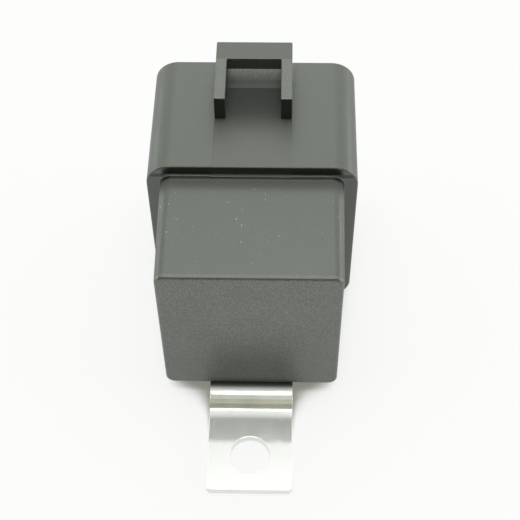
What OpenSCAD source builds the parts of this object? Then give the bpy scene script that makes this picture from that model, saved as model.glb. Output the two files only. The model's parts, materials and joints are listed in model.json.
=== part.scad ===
// Skirted five-blade changeover relay for a vehicle: a moulded can with a wider skirt round its
// connector mouth, a latch bridge on the skirt and a joggled steel strap to screw it down by.
// Millimetres. X is the width, +Y points into the connector mouth, +Z is up from the surface
// that the strap and the skirt lie on. The origin is under the middle of the whole relay.

/* [Can] */
// Width of the can at its closed end
can_w = 28.1; // [27:0.1:31]
// Height of the can at its closed end
can_h = 28.6; // [28:0.1:29.5]
// Length of the can, from its closed end to the step
can_len = 20; // [19:0.1:24]
// Draft of each side of the can, in degrees
can_draft = 1.33; // [0.2:0.01:2]
// Radius of the can's four long edges
can_corner_r = 1.5; // [0.8:0.1:3]
// Radius round the closed end
can_edge_r = 0.5; // [0.2:0.05:0.8]
// Wall of the can
can_wall = 1.3; // [1:0.05:1.5]
// How far the can's middle lies above the skirt's middle
can_lift = 0.235; // [0:0.005:0.4]

/* [Skirt] */
// Width of the skirt at the step
skirt_w = 33.4; // [33:0.1:38]
// Height of the skirt at the step
skirt_h = 33.4; // [33:0.1:36]
// Length of the skirt, from the step to its mouth
skirt_len = 23.8; // [21:0.1:28]
// Draft of each side of the skirt, in degrees
skirt_draft = 0.31; // [0.1:0.01:1]
// Radius of the skirt's four long edges
skirt_corner_r = 4; // [2.5:0.1:5]
// Wall of the skirt
skirt_wall = 1.8; // [1.4:0.05:2]
// Wall across the step, which the base plate seats on
step_wall = 1.6; // [1.4:0.05:2.4]
// Radius round the step's outer edge
step_edge_r = 0.25; // [0.1:0.05:0.4]
// Lead-in round the inside of the mouth
mouth_lead = 0.4; // [0.2:0.05:0.8]

/* [Latch bridge] */
// Width over both legs
latch_w = 12.45; // [11:0.05:15]
// Thickness of a leg
latch_leg_t = 1.8; // [1.2:0.05:2.4]
// Length of the legs, back from the mouth
latch_len = 13.3; // [10:0.1:16]
// Height of the legs over the skirt at its mouth
latch_h = 4.4; // [3.5:0.05:5]
// Depth of the bar, along the legs
latch_bar_d = 4.1; // [2.5:0.05:5]
// Thickness of the bar
latch_bar_t = 2.2; // [1.6:0.05:2.4]
// Lead-in under the bar's outer edge
latch_lead = 1; // [0.4:0.05:1.4]
// Width of the tooling pad at the foot of the step
pad_w = 13.3; // [10:0.1:16]
// Length of the tooling pad along the can
pad_len = 0.6; // [0.4:0.05:1.2]
// Height of the tooling pad
pad_h = 0.15; // [0.1:0.01:0.3]

/* [Mounting strap] */
// Width of the strap
strap_w = 13.6; // [12:0.1:16]
// Thickness of the strap
strap_t = 1.2; // [0.8:0.05:1.4]
// Length of the strap in front of the can
strap_out = 18.7; // [17:0.1:24]
// Radius of the screw hole
strap_hole_r = 3.2; // [2.6:0.05:3.5]
// From the strap's end to the hole's centre
strap_hole_in = 6.2; // [5:0.1:7]
// Length of strap in front of the can before it bends down
strap_lead = 1; // [0.6:0.05:2]
// Slope of the joggle, in degrees
strap_slope = 30; // [24:1:40]
// Inside radius of the bends
strap_bend_r = 1.3; // [0.6:0.05:1.6]
// Radius of the outer end's corners
strap_corner_r = 0.8; // [0.4:0.05:2]
// Length of the pocket that grips the strap, ahead of the step
pocket_len = 9.5; // [8.5:0.1:12]
// Floor and side walls of the pocket
pocket_wall = 1.05; // [0.8:0.05:1.2]
// Clearance round the strap in its pocket
strap_gap = 0.1; // [0.05:0.01:0.15]
// Width of the window that the snap finger holds
window_w = 5; // [4:0.1:7]
// Length of that window
window_len = 3; // [2.6:0.1:4]
// Slit beside the snap finger
finger_slit = 0.7; // [0.5:0.05:0.9]

/* [Base and blades] */
// Thickness of the base plate
base_t = 2.6; // [2.2:0.05:3.2]
// Clearance round the base plate
base_gap = 0.2; // [0.1:0.01:0.3]
// Depth of the poured seal over the base plate
seal_t = 1; // [0.6:0.05:1.6]
// Width of a blade
blade_w = 6.3; // [5.5:0.1:6.5]
// Thickness of a blade, and of its strip
blade_t = 0.8; // [0.7:0.01:0.9]
// Length of a blade beyond the seal
blade_out = 11.2; // [9:0.1:13]
// Radius of the hole in a blade
blade_hole_r = 0.9; // [0.6:0.05:1.1]
// From the middle to each coil blade
coil_blade_x = 8.4; // [8.2:0.05:9]
// From the middle up to the normally open blade
open_blade_z = 7.9; // [7.6:0.05:8.2]
// From the middle down to the common blade
common_blade_z = 8.9; // [8.7:0.05:9.4]
// Clearance round a strip where it passes the base plate
slot_gap = 0.05; // [0.02:0.01:0.1]

/* [Magnet] */
// Thickness of the yoke
yoke_t = 1.6; // [1.3:0.05:1.8]
// Width of the yoke and of the armature
yoke_w = 13; // [11:0.1:13.5]
// Space behind the yoke for the leaf and its rivets
yoke_room = 0.9; // [0.8:0.05:1.2]
// Radius of the core
core_r = 3; // [2.5:0.05:3.3]
// Radius of the pole head
pole_r = 4.7; // [4.2:0.05:5.2]
// Thickness of the pole head
pole_t = 1; // [0.8:0.05:1.2]
// Wall of the bobbin's barrel
bobbin_wall = 0.9; // [0.7:0.05:1.1]
// Thickness of the bobbin's flanges
flange_t = 0.9; // [0.7:0.05:1.2]
// Side of the bobbin's square flanges
flange_w = 15; // [14.6:0.1:15.2]
// Radius of the winding
winding_r = 6.9; // [6.2:0.05:7]
// Thickness of the tape round the winding
tape_t = 0.15; // [0.1:0.01:0.2]
// Thickness of the armature
armature_t = 1.4; // [1.2:0.05:1.6]
// Angle that the armature swings through to the pole, in degrees
armature_swing = 3.5; // [3:0.1:3.8]
// Gap left between the armature and the pole when it has closed
pole_gap = 0.05; // [0.03:0.01:0.08]

/* [Contacts] */
// Thickness of the contact leaf
leaf_t = 0.25; // [0.2:0.01:0.3]
// Width of the contact leaf
leaf_w = 9; // [7:0.1:9.5]
// Radius of the knee, inside the leaf
knee_r = 1; // [0.8:0.05:1.2]
// Radius of the contact buttons
contact_r = 1.6; // [1.3:0.05:1.8]
// Height of a fixed button over its strip
button_h = 0.7; // [0.6:0.05:0.8]
// Height of the moving button towards the open contact
button_front = 0.9; // [0.8:0.05:1]
// Height of the moving button towards the closed contact
button_back = 0.7; // [0.6:0.05:0.8]
// Gap between two buttons that touch
touch_gap = 0.04; // [0.02:0.01:0.05]
// Clearance between the closed contact's strip and the can
strip_room = 0.5; // [0.4:0.05:0.7]
// Clearance between the moving button's rim and the closed contact's strip above it
button_room = 0.7; // [0.5:0.05:1]
// How far the leaf runs past the buttons
leaf_over = 0.4; // [0.3:0.05:0.6]
// Gap between the armature's end and the buttons
armature_short = 1.2; // [1:0.05:1.5]
// How far a strip's tab stands out beyond its button
tab_over = 0.5; // [0.3:0.05:0.6]

/* [Rivets] */
// Radius of the rivets' shanks
rivet_r = 0.8; // [0.6:0.05:1]
// How far a rivet's head stands out round its shank
rivet_head_over = 0.5; // [0.3:0.05:0.6]
// Thickness of a rivet's head
rivet_head_t = 0.4; // [0.3:0.05:0.45]
// From the armature's end to its first rivet
armature_rivet_in = 2.2; // [2:0.1:2.6]
// Between the armature's two rivets
armature_rivet_pitch = 5; // [4:0.1:5.5]
// From the hinge to the yoke's first rivet
yoke_rivet_in = 3.4; // [3.2:0.1:4]
// Between the yoke's two rivets
yoke_rivet_pitch = 3; // [2.8:0.1:3.4]
// How far the leaf runs past the yoke's last rivet
leaf_end_over = 1.8; // [1.5:0.1:2]

/* [Resistor and wires] */
// Radius of the resistor
resistor_r = 1; // [0.8:0.05:1.1]
// Length of the resistor's body
resistor_len = 6; // [5:0.1:7]
// Radius of the resistor's wire leads
lead_r = 0.25; // [0.2:0.05:0.3]
// Radius of the coil's wire
wire_r = 0.15; // [0.1:0.01:0.2]

/* [Hidden] */

eps = 0.01;              // thickness of a section that a hull joins
cut = 1;                 // how far a cut runs past the face it opens
round_fn = 32;           // facets of the corners that a hull joins
fine_fn = 64;            // facets of a round piece

// Stations along Y
total_len = strap_out + can_len + skirt_len;
end_y = strap_out - total_len / 2;        // closed end of the can
step_y = end_y + can_len;
mouth_y = step_y + skirt_len;
seat_y = step_y + step_wall;              // where the base plate seats
base_y = seat_y + base_t;                 // outer face of the base plate
seal_y = base_y + seal_t;                 // outer face of the poured seal
tip_y = seal_y + blade_out;

// Heights along Z
skirt_grow = skirt_len * tan(skirt_draft);
can_grow = can_len * tan(can_draft);
mid_z = skirt_h / 2 + skirt_grow;         // middle of the skirt and of the blades
can_z = mid_z + can_lift;                 // middle of the can
can_low_z = can_z - can_h / 2;            // underside of the can at its closed end
can_top_step_z = can_z + can_h / 2 + can_grow;
skirt_top_z = mid_z + skirt_h / 2 + skirt_grow;
latch_top_z = skirt_top_z + latch_h;
bar_low_z = latch_top_z - latch_bar_t;
strap_drop = can_low_z - strap_t;         // the strap's upper run over its lower run

// Space inside the can, at its closed end where it is smallest
cave_low_z = can_low_z + can_wall;
cave_top_z = can_z + can_h / 2 - can_wall;
cave_end_y = end_y + can_wall;

// The magnet: yoke along the can's floor, coil beside it, pole towards the closed end
hinge_z = cave_low_z + yoke_room;         // back of the yoke, where the armature rocks
riser_t = blade_t;
riser_top_z = cave_top_z - strip_room;    // closed contact's strip, under the can's roof
contact_z = riser_top_z - riser_t - contact_r - button_room;
contact_arm = contact_z - hinge_z;
closed_strip_y = cave_end_y + strip_room;
closed_apex_y = closed_strip_y + blade_t + button_h;
stack_t = armature_t + leaf_t + button_back;
hinge_y = closed_apex_y + touch_gap + stack_t * cos(armature_swing)
        + contact_arm * sin(armature_swing);
pole_y = hinge_y + pole_gap;
open_apex_y = hinge_y - armature_t + button_front + touch_gap;
open_strip_y = open_apex_y + button_h;
foot_gap = blade_t;                       // between the yoke's foot and the base plate
foot_y = seat_y - foot_gap - yoke_t;      // inner face of the yoke's foot
yoke_in_z = hinge_z + yoke_t;
flange_gap = 0.3;                         // between the yoke's leg and the flanges
coil_z = yoke_in_z + flange_gap + flange_w / 2;
bobbin_y = pole_y + pole_t;
barrel_r = core_r + bobbin_wall;
yoke_foot_top_z = coil_z + core_r;
armature_top_z = contact_z - contact_r - armature_short;

// Rivets: the heads are thin discs
rivet_head_r = rivet_r + rivet_head_over;
rivet_gap = 0.03;                         // clearance round a rivet and beside the leaf
armature_rivet_z = [for (k = [0, 1]) armature_top_z - armature_rivet_in - k * armature_rivet_pitch];
yoke_rivet_y = [for (k = [0, 1]) hinge_y + yoke_rivet_in + k * yoke_rivet_pitch];
leaf_leg_end_y = yoke_rivet_y[1] + leaf_end_over;

// Coil strips stand beside the coil, and the resistor lies between their ears
post_w = 3;                               // width of a strip's post
post_len = 5;                             // how far the coil strips' posts reach in beside the coil
ear_len = 1.8;                            // length of the ear that takes a lead, along Y
resistor_gap = 0.2;                       // between the resistor and the base plate
resistor_y = seat_y - resistor_r - resistor_gap;
resistor_z = yoke_foot_top_z + resistor_r + 2 * resistor_gap;

// ---------------------------------------------------------------- shapes used more than once

// Rectangle with round corners, centred
module round_rect(w, h, r) {
    square([w - 2 * r, h], center = true);
    square([w, h - 2 * r], center = true);
    for (x = [-1, 1], y = [-1, 1])
        translate([x * (w / 2 - r), y * (h / 2 - r)]) circle(r);
}

// Prism along +Y with round corners
module round_bar(w, h, r, y0, y1, z) {
    translate([0, y0, z]) rotate([-90, 0, 0]) linear_extrude(y1 - y0) round_rect(w, h, r);
}

// Thin section across Y, for a hull to join
module section(w, h, r, y, z) {
    translate([0, y, z]) rotate([-90, 0, 0]) linear_extrude(eps) round_rect(w, h, r, $fn = round_fn);
}

// Drafted body from y0 to y1 that widens by grow on each side. Its near edge is rounded by edge.
module drafted(w, h, r, y0, y1, z, grow, edge = 0) {
    steps = 4;
    hull() {
        for (k = [0 : edge > 0 ? steps : 0]) {
            inset = edge * (1 - cos(90 * k / steps));
            section(w - 2 * inset, h - 2 * inset, r - inset, y0 + edge * (1 - sin(90 * k / steps)), z);
        }
        section(w + 2 * grow, h + 2 * grow, r + grow, y1 - eps, z);
    }
}

// Box from two opposite corners
module box(a, b) {
    translate(a) cube(b - a);
}

// Pulls what is drawn round the armature's edge into its resting place, open by the swing
module at_rest() {
    translate([0, hinge_y, hinge_z]) rotate([armature_swing, 0, 0]) children();
}

// Cylinder along +Y
module rod(r, y0, y1, x, z) {
    translate([x, y0, z]) rotate([-90, 0, 0]) cylinder(r = r, h = y1 - y0, $fn = fine_fn);
}

// Wire between two points, with a round end
module wire(a, b, r) {
    way = b - a;
    len = norm(way);
    translate(a) rotate([0, acos(way.z / len), atan2(way.y, way.x)]) cylinder(r = r, h = len, $fn = 16);
    translate(b) sphere(r, $fn = 16);
}

// ---------------------------------------------------------------- housing

// Solid outline of the can and the skirt
module housing_body() {
    drafted(can_w, can_h, can_corner_r, end_y, step_y + step_wall / 2, can_z,
            (can_len + step_wall / 2) * tan(can_draft), can_edge_r);
    drafted(skirt_w, skirt_h, skirt_corner_r, step_y, mouth_y, mid_z, skirt_grow, step_edge_r);
}

// Hollow of the can, of the skirt and the lead-in round the mouth
module housing_hollow() {
    cave_len = seat_y - cave_end_y;
    drafted(can_w - 2 * can_wall, can_h - 2 * can_wall, max(can_corner_r - can_wall, 0.4),
            cave_end_y, seat_y + eps, can_z, cave_len * tan(can_draft));
    mouth_in_w = skirt_w - 2 * skirt_wall;
    mouth_in_h = skirt_h - 2 * skirt_wall;
    mouth_in_r = skirt_corner_r - skirt_wall;
    drafted(mouth_in_w, mouth_in_h, mouth_in_r, seat_y, mouth_y + eps, mid_z, skirt_grow);
    drafted(mouth_in_w + 2 * skirt_grow, mouth_in_h + 2 * skirt_grow, mouth_in_r,
            mouth_y - mouth_lead, mouth_y + eps, mid_z, mouth_lead + eps);
}

// Two legs and the bar across their outer ends, with its lead-in underneath
module latch_bridge() {
    root_z = skirt_top_z - skirt_wall / 2;
    for (side = [0, 1]) mirror([side, 0, 0])
        box([latch_w / 2 - latch_leg_t, mouth_y - latch_len, root_z], [latch_w / 2, mouth_y, latch_top_z]);
    translate([-latch_w / 2 + latch_leg_t / 2, 0, 0]) rotate([90, 0, 90])
        linear_extrude(latch_w - latch_leg_t) polygon([
            [mouth_y - latch_bar_d, bar_low_z], [mouth_y - latch_lead, bar_low_z],
            [mouth_y, bar_low_z + latch_lead], [mouth_y, latch_top_z],
            [mouth_y - latch_bar_d, latch_top_z]]);
}

// Low pad that the latch tooling leaves at the foot of the step
module tooling_pad() {
    box([-pad_w / 2, step_y - pad_len, can_top_step_z - can_wall / 2],
        [pad_w / 2, step_y + step_wall / 2, can_top_step_z + pad_h]);
}

// Block under the can that grips the strap
module pocket_body() {
    half_w = strap_w / 2 + strap_gap + pocket_wall;
    box([-half_w, step_y - pocket_len, strap_drop - strap_gap - pocket_wall],
        [half_w, step_y + step_wall / 2, can_low_z + can_wall / 2]);
}

// Room for the strap through the pocket and along the can's underside
module strap_tunnel() {
    half_w = strap_w / 2 + strap_gap;
    box([-half_w, end_y - cut, strap_drop - strap_gap],
        [half_w, step_y + step_wall * 3 / 4, can_low_z + strap_gap]);
}

// Where the strap's window and the snap finger are
window_y = step_y - pocket_len / 2;
finger_w = window_w - 2 * finger_slit;

// Slits that free the snap finger from the pocket's floor
module finger_slits() {
    low_z = strap_drop - strap_gap - pocket_wall - cut;
    top_z = strap_drop;
    back_y = window_y + window_len / 2;
    for (side = [0, 1]) mirror([side, 0, 0])
        box([finger_w / 2, step_y - pocket_len + pocket_wall, low_z],
            [finger_w / 2 + finger_slit, back_y + finger_slit, top_z]);
    box([-finger_w / 2, back_y, low_z], [finger_w / 2, back_y + finger_slit, top_z]);
}

// Wedge on the finger that stands in the strap's window
module finger_wedge() {
    floor_z = strap_drop - strap_gap - eps;
    y0 = window_y - window_len / 2 + strap_gap;
    y1 = window_y + window_len / 2 - strap_gap;
    translate([-finger_w / 2, 0, 0]) rotate([90, 0, 90]) linear_extrude(finger_w)
        polygon([[y0, floor_z], [y1, floor_z], [y1, strap_drop + strap_t / 2]]);
}

// Ribs inside the mouth that keep a plug the right way round
module key_ribs() {
    rib_w = skirt_wall * 2 / 3;
    rib_h = skirt_wall / 2;
    rib_x = skirt_w / 5;
    rib_in = rib_w * 5 / 2;
    top_z = mid_z + skirt_h / 2 - skirt_wall / 2;
    for (side = [0, 1]) mirror([side, 0, 0])
        box([rib_x, seal_y + rib_h, mid_z + skirt_h / 2 - skirt_wall - rib_h],
            [rib_x + rib_w, mouth_y - rib_in, top_z]);
}

module housing() color([0.11, 0.115, 0.11]) {
    difference() {
        union() {
            difference() {
                union() {
                    housing_body();
                    pocket_body();
                }
                housing_hollow();
            }
            latch_bridge();
            tooling_pad();
            key_ribs();
        }
        strap_tunnel();
        finger_slits();
    }
    finger_wedge();
}

// ---------------------------------------------------------------- mounting strap

// Points of an arc in the strap's side view, from angle a to angle b
function arc(c, r, a, b, n = 8) = [for (k = [0 : n]) c + r * [cos(a + (b - a) * k / n), sin(a + (b - a) * k / n)]];

// Side view of the strap: upper run, two bends and lower run
module strap_side() {
    inner_r = strap_bend_r;
    outer_r = strap_bend_r + strap_t;
    top_bend = [end_y - strap_lead, strap_drop - strap_bend_r];
    rise = strap_drop - (inner_r + outer_r) * (1 - cos(strap_slope));
    run = rise / tan(strap_slope) + (inner_r + outer_r) * sin(strap_slope);
    low_bend = [end_y - strap_lead - run, strap_t + strap_bend_r];
    polygon(concat(
        [[step_y + step_wall / 2, strap_drop], [step_y + step_wall / 2, can_low_z]],
        arc(top_bend, outer_r, 90, 90 + strap_slope),
        arc(low_bend, inner_r, -90 + strap_slope, -90),
        [[end_y - strap_out, strap_t], [end_y - strap_out, 0]],
        arc(low_bend, outer_r, -90, -90 + strap_slope),
        arc(top_bend, inner_r, 90 + strap_slope, 90)));
}

// Outline of the strap from above, with the round corners of its outer end
module strap_plan() {
    y0 = end_y - strap_out;
    translate([-strap_w / 2, y0 + strap_corner_r]) square([strap_w, step_y + step_wall - y0]);
    translate([-strap_w / 2 + strap_corner_r, y0]) square([strap_w - 2 * strap_corner_r, strap_corner_r * 2]);
    for (side = [-1, 1])
        translate([side * (strap_w / 2 - strap_corner_r), y0 + strap_corner_r])
            circle(strap_corner_r, $fn = fine_fn);
}

module mounting_strap() color([0.78, 0.77, 0.73]) difference() {
    intersection() {
        translate([-strap_w / 2 - cut, 0, 0]) rotate([90, 0, 90])
            linear_extrude(strap_w + 2 * cut) strap_side();
        translate([0, 0, -cut]) linear_extrude(can_low_z + 2 * cut) strap_plan();
    }
    translate([0, end_y - strap_out + strap_hole_in, -cut])
        cylinder(r = strap_hole_r, h = strap_t + 2 * cut, $fn = fine_fn);
    box([-window_w / 2, window_y - window_len / 2, strap_drop - cut],
        [window_w / 2, window_y + window_len / 2, can_low_z + cut]);
}

// ---------------------------------------------------------------- base plate and seal

plate_w = skirt_w - 2 * skirt_wall - 2 * base_gap;
plate_h = skirt_h - 2 * skirt_wall - 2 * base_gap;
plate_r = skirt_corner_r - skirt_wall;
peg_r = 0.9;                              // pegs that the yoke's foot is staked to
peg_head_r = peg_r * 5 / 3;
peg_x = yoke_w / 2 - peg_head_r;
peg_z = mid_z - blade_t - peg_head_r;     // below the closed contact's bar

// Sections of the five blades, as seen into the mouth, grown by a gap
module blade_slots(gap) {
    t = blade_t + 2 * gap;
    w = blade_w + 2 * gap;
    for (x = [-coil_blade_x, coil_blade_x]) translate([x, mid_z]) square([t, w], center = true);
    translate([0, mid_z - common_blade_z]) square([t, w], center = true);
    for (z = [0, open_blade_z]) translate([0, mid_z + z]) square([w, t], center = true);
}

// Turns a view into the mouth into a cut or a plate along +Y
module along(y0, y1) {
    translate([0, y1, 0]) rotate([90, 0, 0]) linear_extrude(y1 - y0) children();
}

module base_plate() color([0.16, 0.17, 0.18]) {
    difference() {
        round_bar(plate_w, plate_h, plate_r, seat_y, base_y, mid_z, $fn = fine_fn);
        along(seat_y - cut, base_y + cut) blade_slots(slot_gap);
        closed_bar(slot_gap, cut);
    }
    for (side = [-1, 1]) {
        rod(peg_head_r, seat_y - foot_gap, seat_y + slot_gap, side * peg_x, peg_z);
        rod(peg_r, foot_y - peg_r / 2, seat_y + slot_gap, side * peg_x, peg_z);
        rod(peg_head_r, foot_y - peg_r, foot_y - rivet_gap, side * peg_x, peg_z);
    }
}

module potting_seal() color([0.09, 0.1, 0.12]) difference() {
    pour_w = skirt_w - 2 * skirt_wall;
    pour_h = skirt_h - 2 * skirt_wall;
    round_bar(pour_w, pour_h, plate_r, base_y, seal_y, mid_z, $fn = fine_fn);
    along(base_y - cut, seal_y + cut) blade_slots(0);
}

// ---------------------------------------------------------------- terminals

// Blade from its root to its tip, lying flat, centred on x and z
module blade(root_y) {
    tip = blade_w / 6;
    thin = blade_t / 4;
    intersection() {
        translate([0, 0, -blade_t / 2]) linear_extrude(blade_t) polygon([
            [-blade_w / 2, root_y], [blade_w / 2, root_y], [blade_w / 2, tip_y - tip],
            [blade_w / 2 - tip, tip_y], [-blade_w / 2 + tip, tip_y], [-blade_w / 2, tip_y - tip]]);
        translate([-blade_w / 2, 0, 0]) rotate([90, 0, 90]) linear_extrude(blade_w) polygon([
            [root_y, -blade_t / 2], [root_y, blade_t / 2], [tip_y - tip, blade_t / 2],
            [tip_y, thin], [tip_y, -thin], [tip_y - tip, -blade_t / 2]]);
    }
}

// Blade with its hole. Its root runs back past the base plate into the strip that it is part of.
module drilled_blade(root = blade_t / 2) {
    difference() {
        blade(seat_y - root);
        translate([0, tip_y - blade_w * 0.7, -blade_t])
            cylinder(r = blade_hole_r, h = 2 * blade_t, $fn = fine_fn);
    }
}

// Coil blade, its post beside the coil and the ear that takes the resistor's lead
module terminal_coil(side) {
    x0 = side * coil_blade_x - blade_t / 2;
    x1 = side * coil_blade_x + blade_t / 2;
    translate([side * coil_blade_x, 0, mid_z]) rotate([0, 90, 0]) drilled_blade();
    box([x0, seat_y - post_len, mid_z - post_w / 2], [x1, seat_y, mid_z + post_w / 2]);
    box([x0, resistor_y - ear_len / 2, mid_z], [x1, resistor_y + ear_len / 2, resistor_z + 2 * lead_r]);
}

module terminal_coil_a() color([0.8, 0.79, 0.76]) terminal_coil(-1);
module terminal_coil_b() color([0.8, 0.79, 0.76]) terminal_coil(1);

// Common blade, whose tab is welded to the back of the yoke's foot
module terminal_common() color([0.8, 0.79, 0.76]) {
    low_z = mid_z - common_blade_z - blade_w / 2;
    translate([0, 0, mid_z - common_blade_z]) rotate([0, 90, 0]) drilled_blade();
    box([-blade_w / 2, seat_y - foot_gap, max(low_z, hinge_z)], [blade_w / 2, seat_y, low_z + blade_w]);
}

// Normally open blade, its strip over the coil and the tab that carries the button
module terminal_open() color([0.8, 0.79, 0.76]) {
    z = mid_z + open_blade_z;
    translate([0, 0, z]) drilled_blade();
    half_w = contact_r + tab_over;
    box([-half_w, open_strip_y, z - blade_t / 2], [half_w, seat_y, z + blade_t / 2]);
    box([-half_w, open_strip_y, z - blade_t / 2],
        [half_w, open_strip_y + blade_t, contact_z + contact_r + tab_over / 2]);
}

riser_x1 = yoke_w / 2 + tab_over;         // the riser passes beside the yoke
riser_x0 = riser_x1 - post_w;

// Bar of the closed contact's terminal, sunk in the base plate, grown by a gap for its pocket
module closed_bar(gap, open_y) {
    y1 = seat_y + blade_t + gap;
    box([-blade_w / 2 - gap, seat_y - open_y, mid_z - blade_t / 2 - gap],
        [riser_x1 + gap, y1, mid_z + blade_t * 3 / 2 + gap]);
    box([riser_x0 - gap, seat_y - open_y, mid_z - blade_t / 2 - gap], [riser_x1 + gap, y1, riser_top_z + gap]);
}

// Normally closed blade, its bar, the riser under the can's roof and the tab with the button
module terminal_closed() color([0.8, 0.79, 0.76]) {
    translate([0, 0, mid_z]) drilled_blade(0);
    closed_bar(0, 0);
    box([riser_x0, closed_strip_y, riser_top_z - riser_t], [riser_x1, seat_y + blade_t, riser_top_z]);
    box([-contact_r - tab_over, closed_strip_y, contact_z - contact_r - tab_over],
        [riser_x1, closed_strip_y + blade_t, contact_z + contact_r]);
    box([riser_x0, closed_strip_y, contact_z], [riser_x1, closed_strip_y + blade_t, riser_top_z]);
}

// ---------------------------------------------------------------- magnet

module bobbin() color([0.86, 0.84, 0.78]) difference() {
    union() {
        rod(barrel_r, bobbin_y, foot_y, 0, coil_z);
        for (y = [bobbin_y, foot_y - flange_t])
            round_bar(flange_w, flange_w, 1, y, y + flange_t, coil_z, $fn = fine_fn);
    }
    rod(core_r + slot_gap, bobbin_y - cut, foot_y + cut, 0, coil_z);
    for (side = [-1, 1])
        rod(peg_head_r + slot_gap, foot_y - flange_t - cut, foot_y + cut, side * peg_x, peg_z);
}

// Ring of winding or tape round the barrel
module coil_ring(r_in, r_out) {
    difference() {
        rod(r_out, bobbin_y + flange_t, foot_y - flange_t, 0, coil_z);
        rod(r_in, bobbin_y, foot_y, 0, coil_z);
    }
}

module coil_winding() color([0.72, 0.36, 0.16]) coil_ring(barrel_r, winding_r);
module coil_tape() color([0.75, 0.6, 0.2]) coil_ring(winding_r, winding_r + tape_t);

// Core with its pole head, riveted over behind the yoke's foot
module core() color([0.6, 0.6, 0.6]) {
    shank_r = core_r * 2 / 3;
    rod(pole_r, pole_y, bobbin_y, 0, coil_z);
    rod(core_r, pole_y, foot_y, 0, coil_z);
    rod(shank_r, bobbin_y, foot_y + yoke_t + rivet_head_t, 0, coil_z);
    rod(shank_r + rivet_head_over, foot_y + yoke_t, foot_y + yoke_t + rivet_head_t, 0, coil_z);
}

// L of strip: the leg along the can's floor and the foot across the coil's end
module yoke() color([0.62, 0.62, 0.6]) difference() {
    translate([-yoke_w / 2, 0, 0]) rotate([90, 0, 90]) linear_extrude(yoke_w) polygon(concat(
        [[pole_y, hinge_z]],
        arc([foot_y + yoke_t - 1, hinge_z + 1], 1, -90, 0),
        [[foot_y + yoke_t, yoke_foot_top_z], [foot_y, yoke_foot_top_z], [foot_y, yoke_in_z],
         [pole_y, yoke_in_z]]));
    rod(core_r * 2 / 3, foot_y - cut, foot_y + yoke_t + cut, 0, coil_z);
    for (side = [-1, 1])
        rod(peg_r + slot_gap, foot_y - cut, foot_y + yoke_t + cut, side * peg_x, peg_z);
    for (y = yoke_rivet_y)
        translate([0, y, hinge_z - cut]) cylinder(r = rivet_r, h = yoke_t + 2 * cut, $fn = fine_fn);
}

// ---------------------------------------------------------------- armature and contacts

module armature() color([0.66, 0.66, 0.64]) at_rest() difference() {
    bevel = knee_r + 0.1;
    translate([-yoke_w / 2, 0, 0]) rotate([90, 0, 90]) linear_extrude(yoke_w) polygon([
        [0, 0], [0, armature_top_z - hinge_z], [-armature_t, armature_top_z - hinge_z],
        [-armature_t, bevel], [-armature_t + bevel, 0]]);
    for (z = armature_rivet_z)
        rod(rivet_r, -armature_t - cut, cut, 0, z - hinge_z);
}

// Where the two straight runs of the leaf's mid-line end at the knee
leaf_r = knee_r + leaf_t / 2;
leaf_turn = 90 - armature_swing;
leaf_off = leaf_t / 2 + rivet_gap;
leg_z = hinge_z - leaf_off;
arm_off = armature_t + leaf_t / 2;
knee_s = (-leaf_off + arm_off * sin(armature_swing)) / cos(armature_swing);
knee_y = hinge_y - arm_off * cos(armature_swing) - knee_s * sin(armature_swing);
knee_mid = [knee_y + leaf_r * tan(leaf_turn / 2), leg_z + leaf_r];
leaf_tip = contact_arm + contact_r + leaf_over;
down = 270;                               // direction of -Z in the leaf's side view

// Point on the leaf's arm, s along it from the hinge and off to its outer side
function on_arm(s, off) = [
    hinge_y - (armature_t + off) * cos(armature_swing) - s * sin(armature_swing),
    hinge_z - (armature_t + off) * sin(armature_swing) + s * cos(armature_swing)];

// Leaf in side view: leg on the yoke's back, knee and arm on the armature
module leaf_side() {
    polygon(concat(
        [[leaf_leg_end_y, leg_z + leaf_t / 2], [leaf_leg_end_y, leg_z - leaf_t / 2]],
        arc(knee_mid, leaf_r + leaf_t / 2, down, down - leaf_turn),
        [on_arm(leaf_tip, leaf_t), on_arm(leaf_tip, 0)],
        arc(knee_mid, leaf_r - leaf_t / 2, down - leaf_turn, down)));
}

module contact_spring() color([0.76, 0.5, 0.28]) difference() {
    translate([-leaf_w / 2, 0, 0]) rotate([90, 0, 90]) linear_extrude(leaf_w) leaf_side();
    at_rest() {
        for (z = armature_rivet_z) rod(rivet_r + rivet_gap, -armature_t - cut, -armature_t + cut / 2, 0, z - hinge_z);
        rod(contact_r / 2 + rivet_gap, -armature_t - cut, -armature_t + cut, 0, contact_arm);
        for (side = [0, 1]) mirror([side, 0, 0])
            box([contact_r + tab_over, -stack_t - cut, armature_top_z - hinge_z + leaf_over],
                [leaf_w, 0, leaf_tip + cut]);
    }
    for (y = yoke_rivet_y)
        translate([0, y, hinge_z - cut]) cylinder(r = rivet_r + rivet_gap, h = 2 * cut, $fn = fine_fn);
}

module moving_contact() color([0.85, 0.85, 0.83]) at_rest() {
    rod(contact_r, -armature_t + rivet_gap, -armature_t + button_front, 0, contact_arm);
    rod(contact_r / 2, -armature_t - leaf_t - rivet_gap, -armature_t + rivet_gap, 0, contact_arm);
    rod(contact_r, -stack_t, -armature_t - leaf_t - rivet_gap, 0, contact_arm);
}

// Button with a domed face towards +Z, standing on z = 0
module dome_button() {
    edge = button_h * 0.6;
    dome_r = (contact_r * contact_r + pow(button_h - edge, 2)) / (2 * (button_h - edge));
    intersection() {
        cylinder(r = contact_r, h = button_h, $fn = fine_fn);
        translate([0, 0, button_h - dome_r]) sphere(dome_r, $fn = fine_fn);
    }
}

module fixed_contact_open() color([0.85, 0.85, 0.83])
    translate([0, open_strip_y, contact_z]) rotate([90, 0, 0]) dome_button();

module fixed_contact_closed() color([0.85, 0.85, 0.83])
    translate([0, closed_strip_y + blade_t, contact_z]) rotate([-90, 0, 0]) dome_button();

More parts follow.
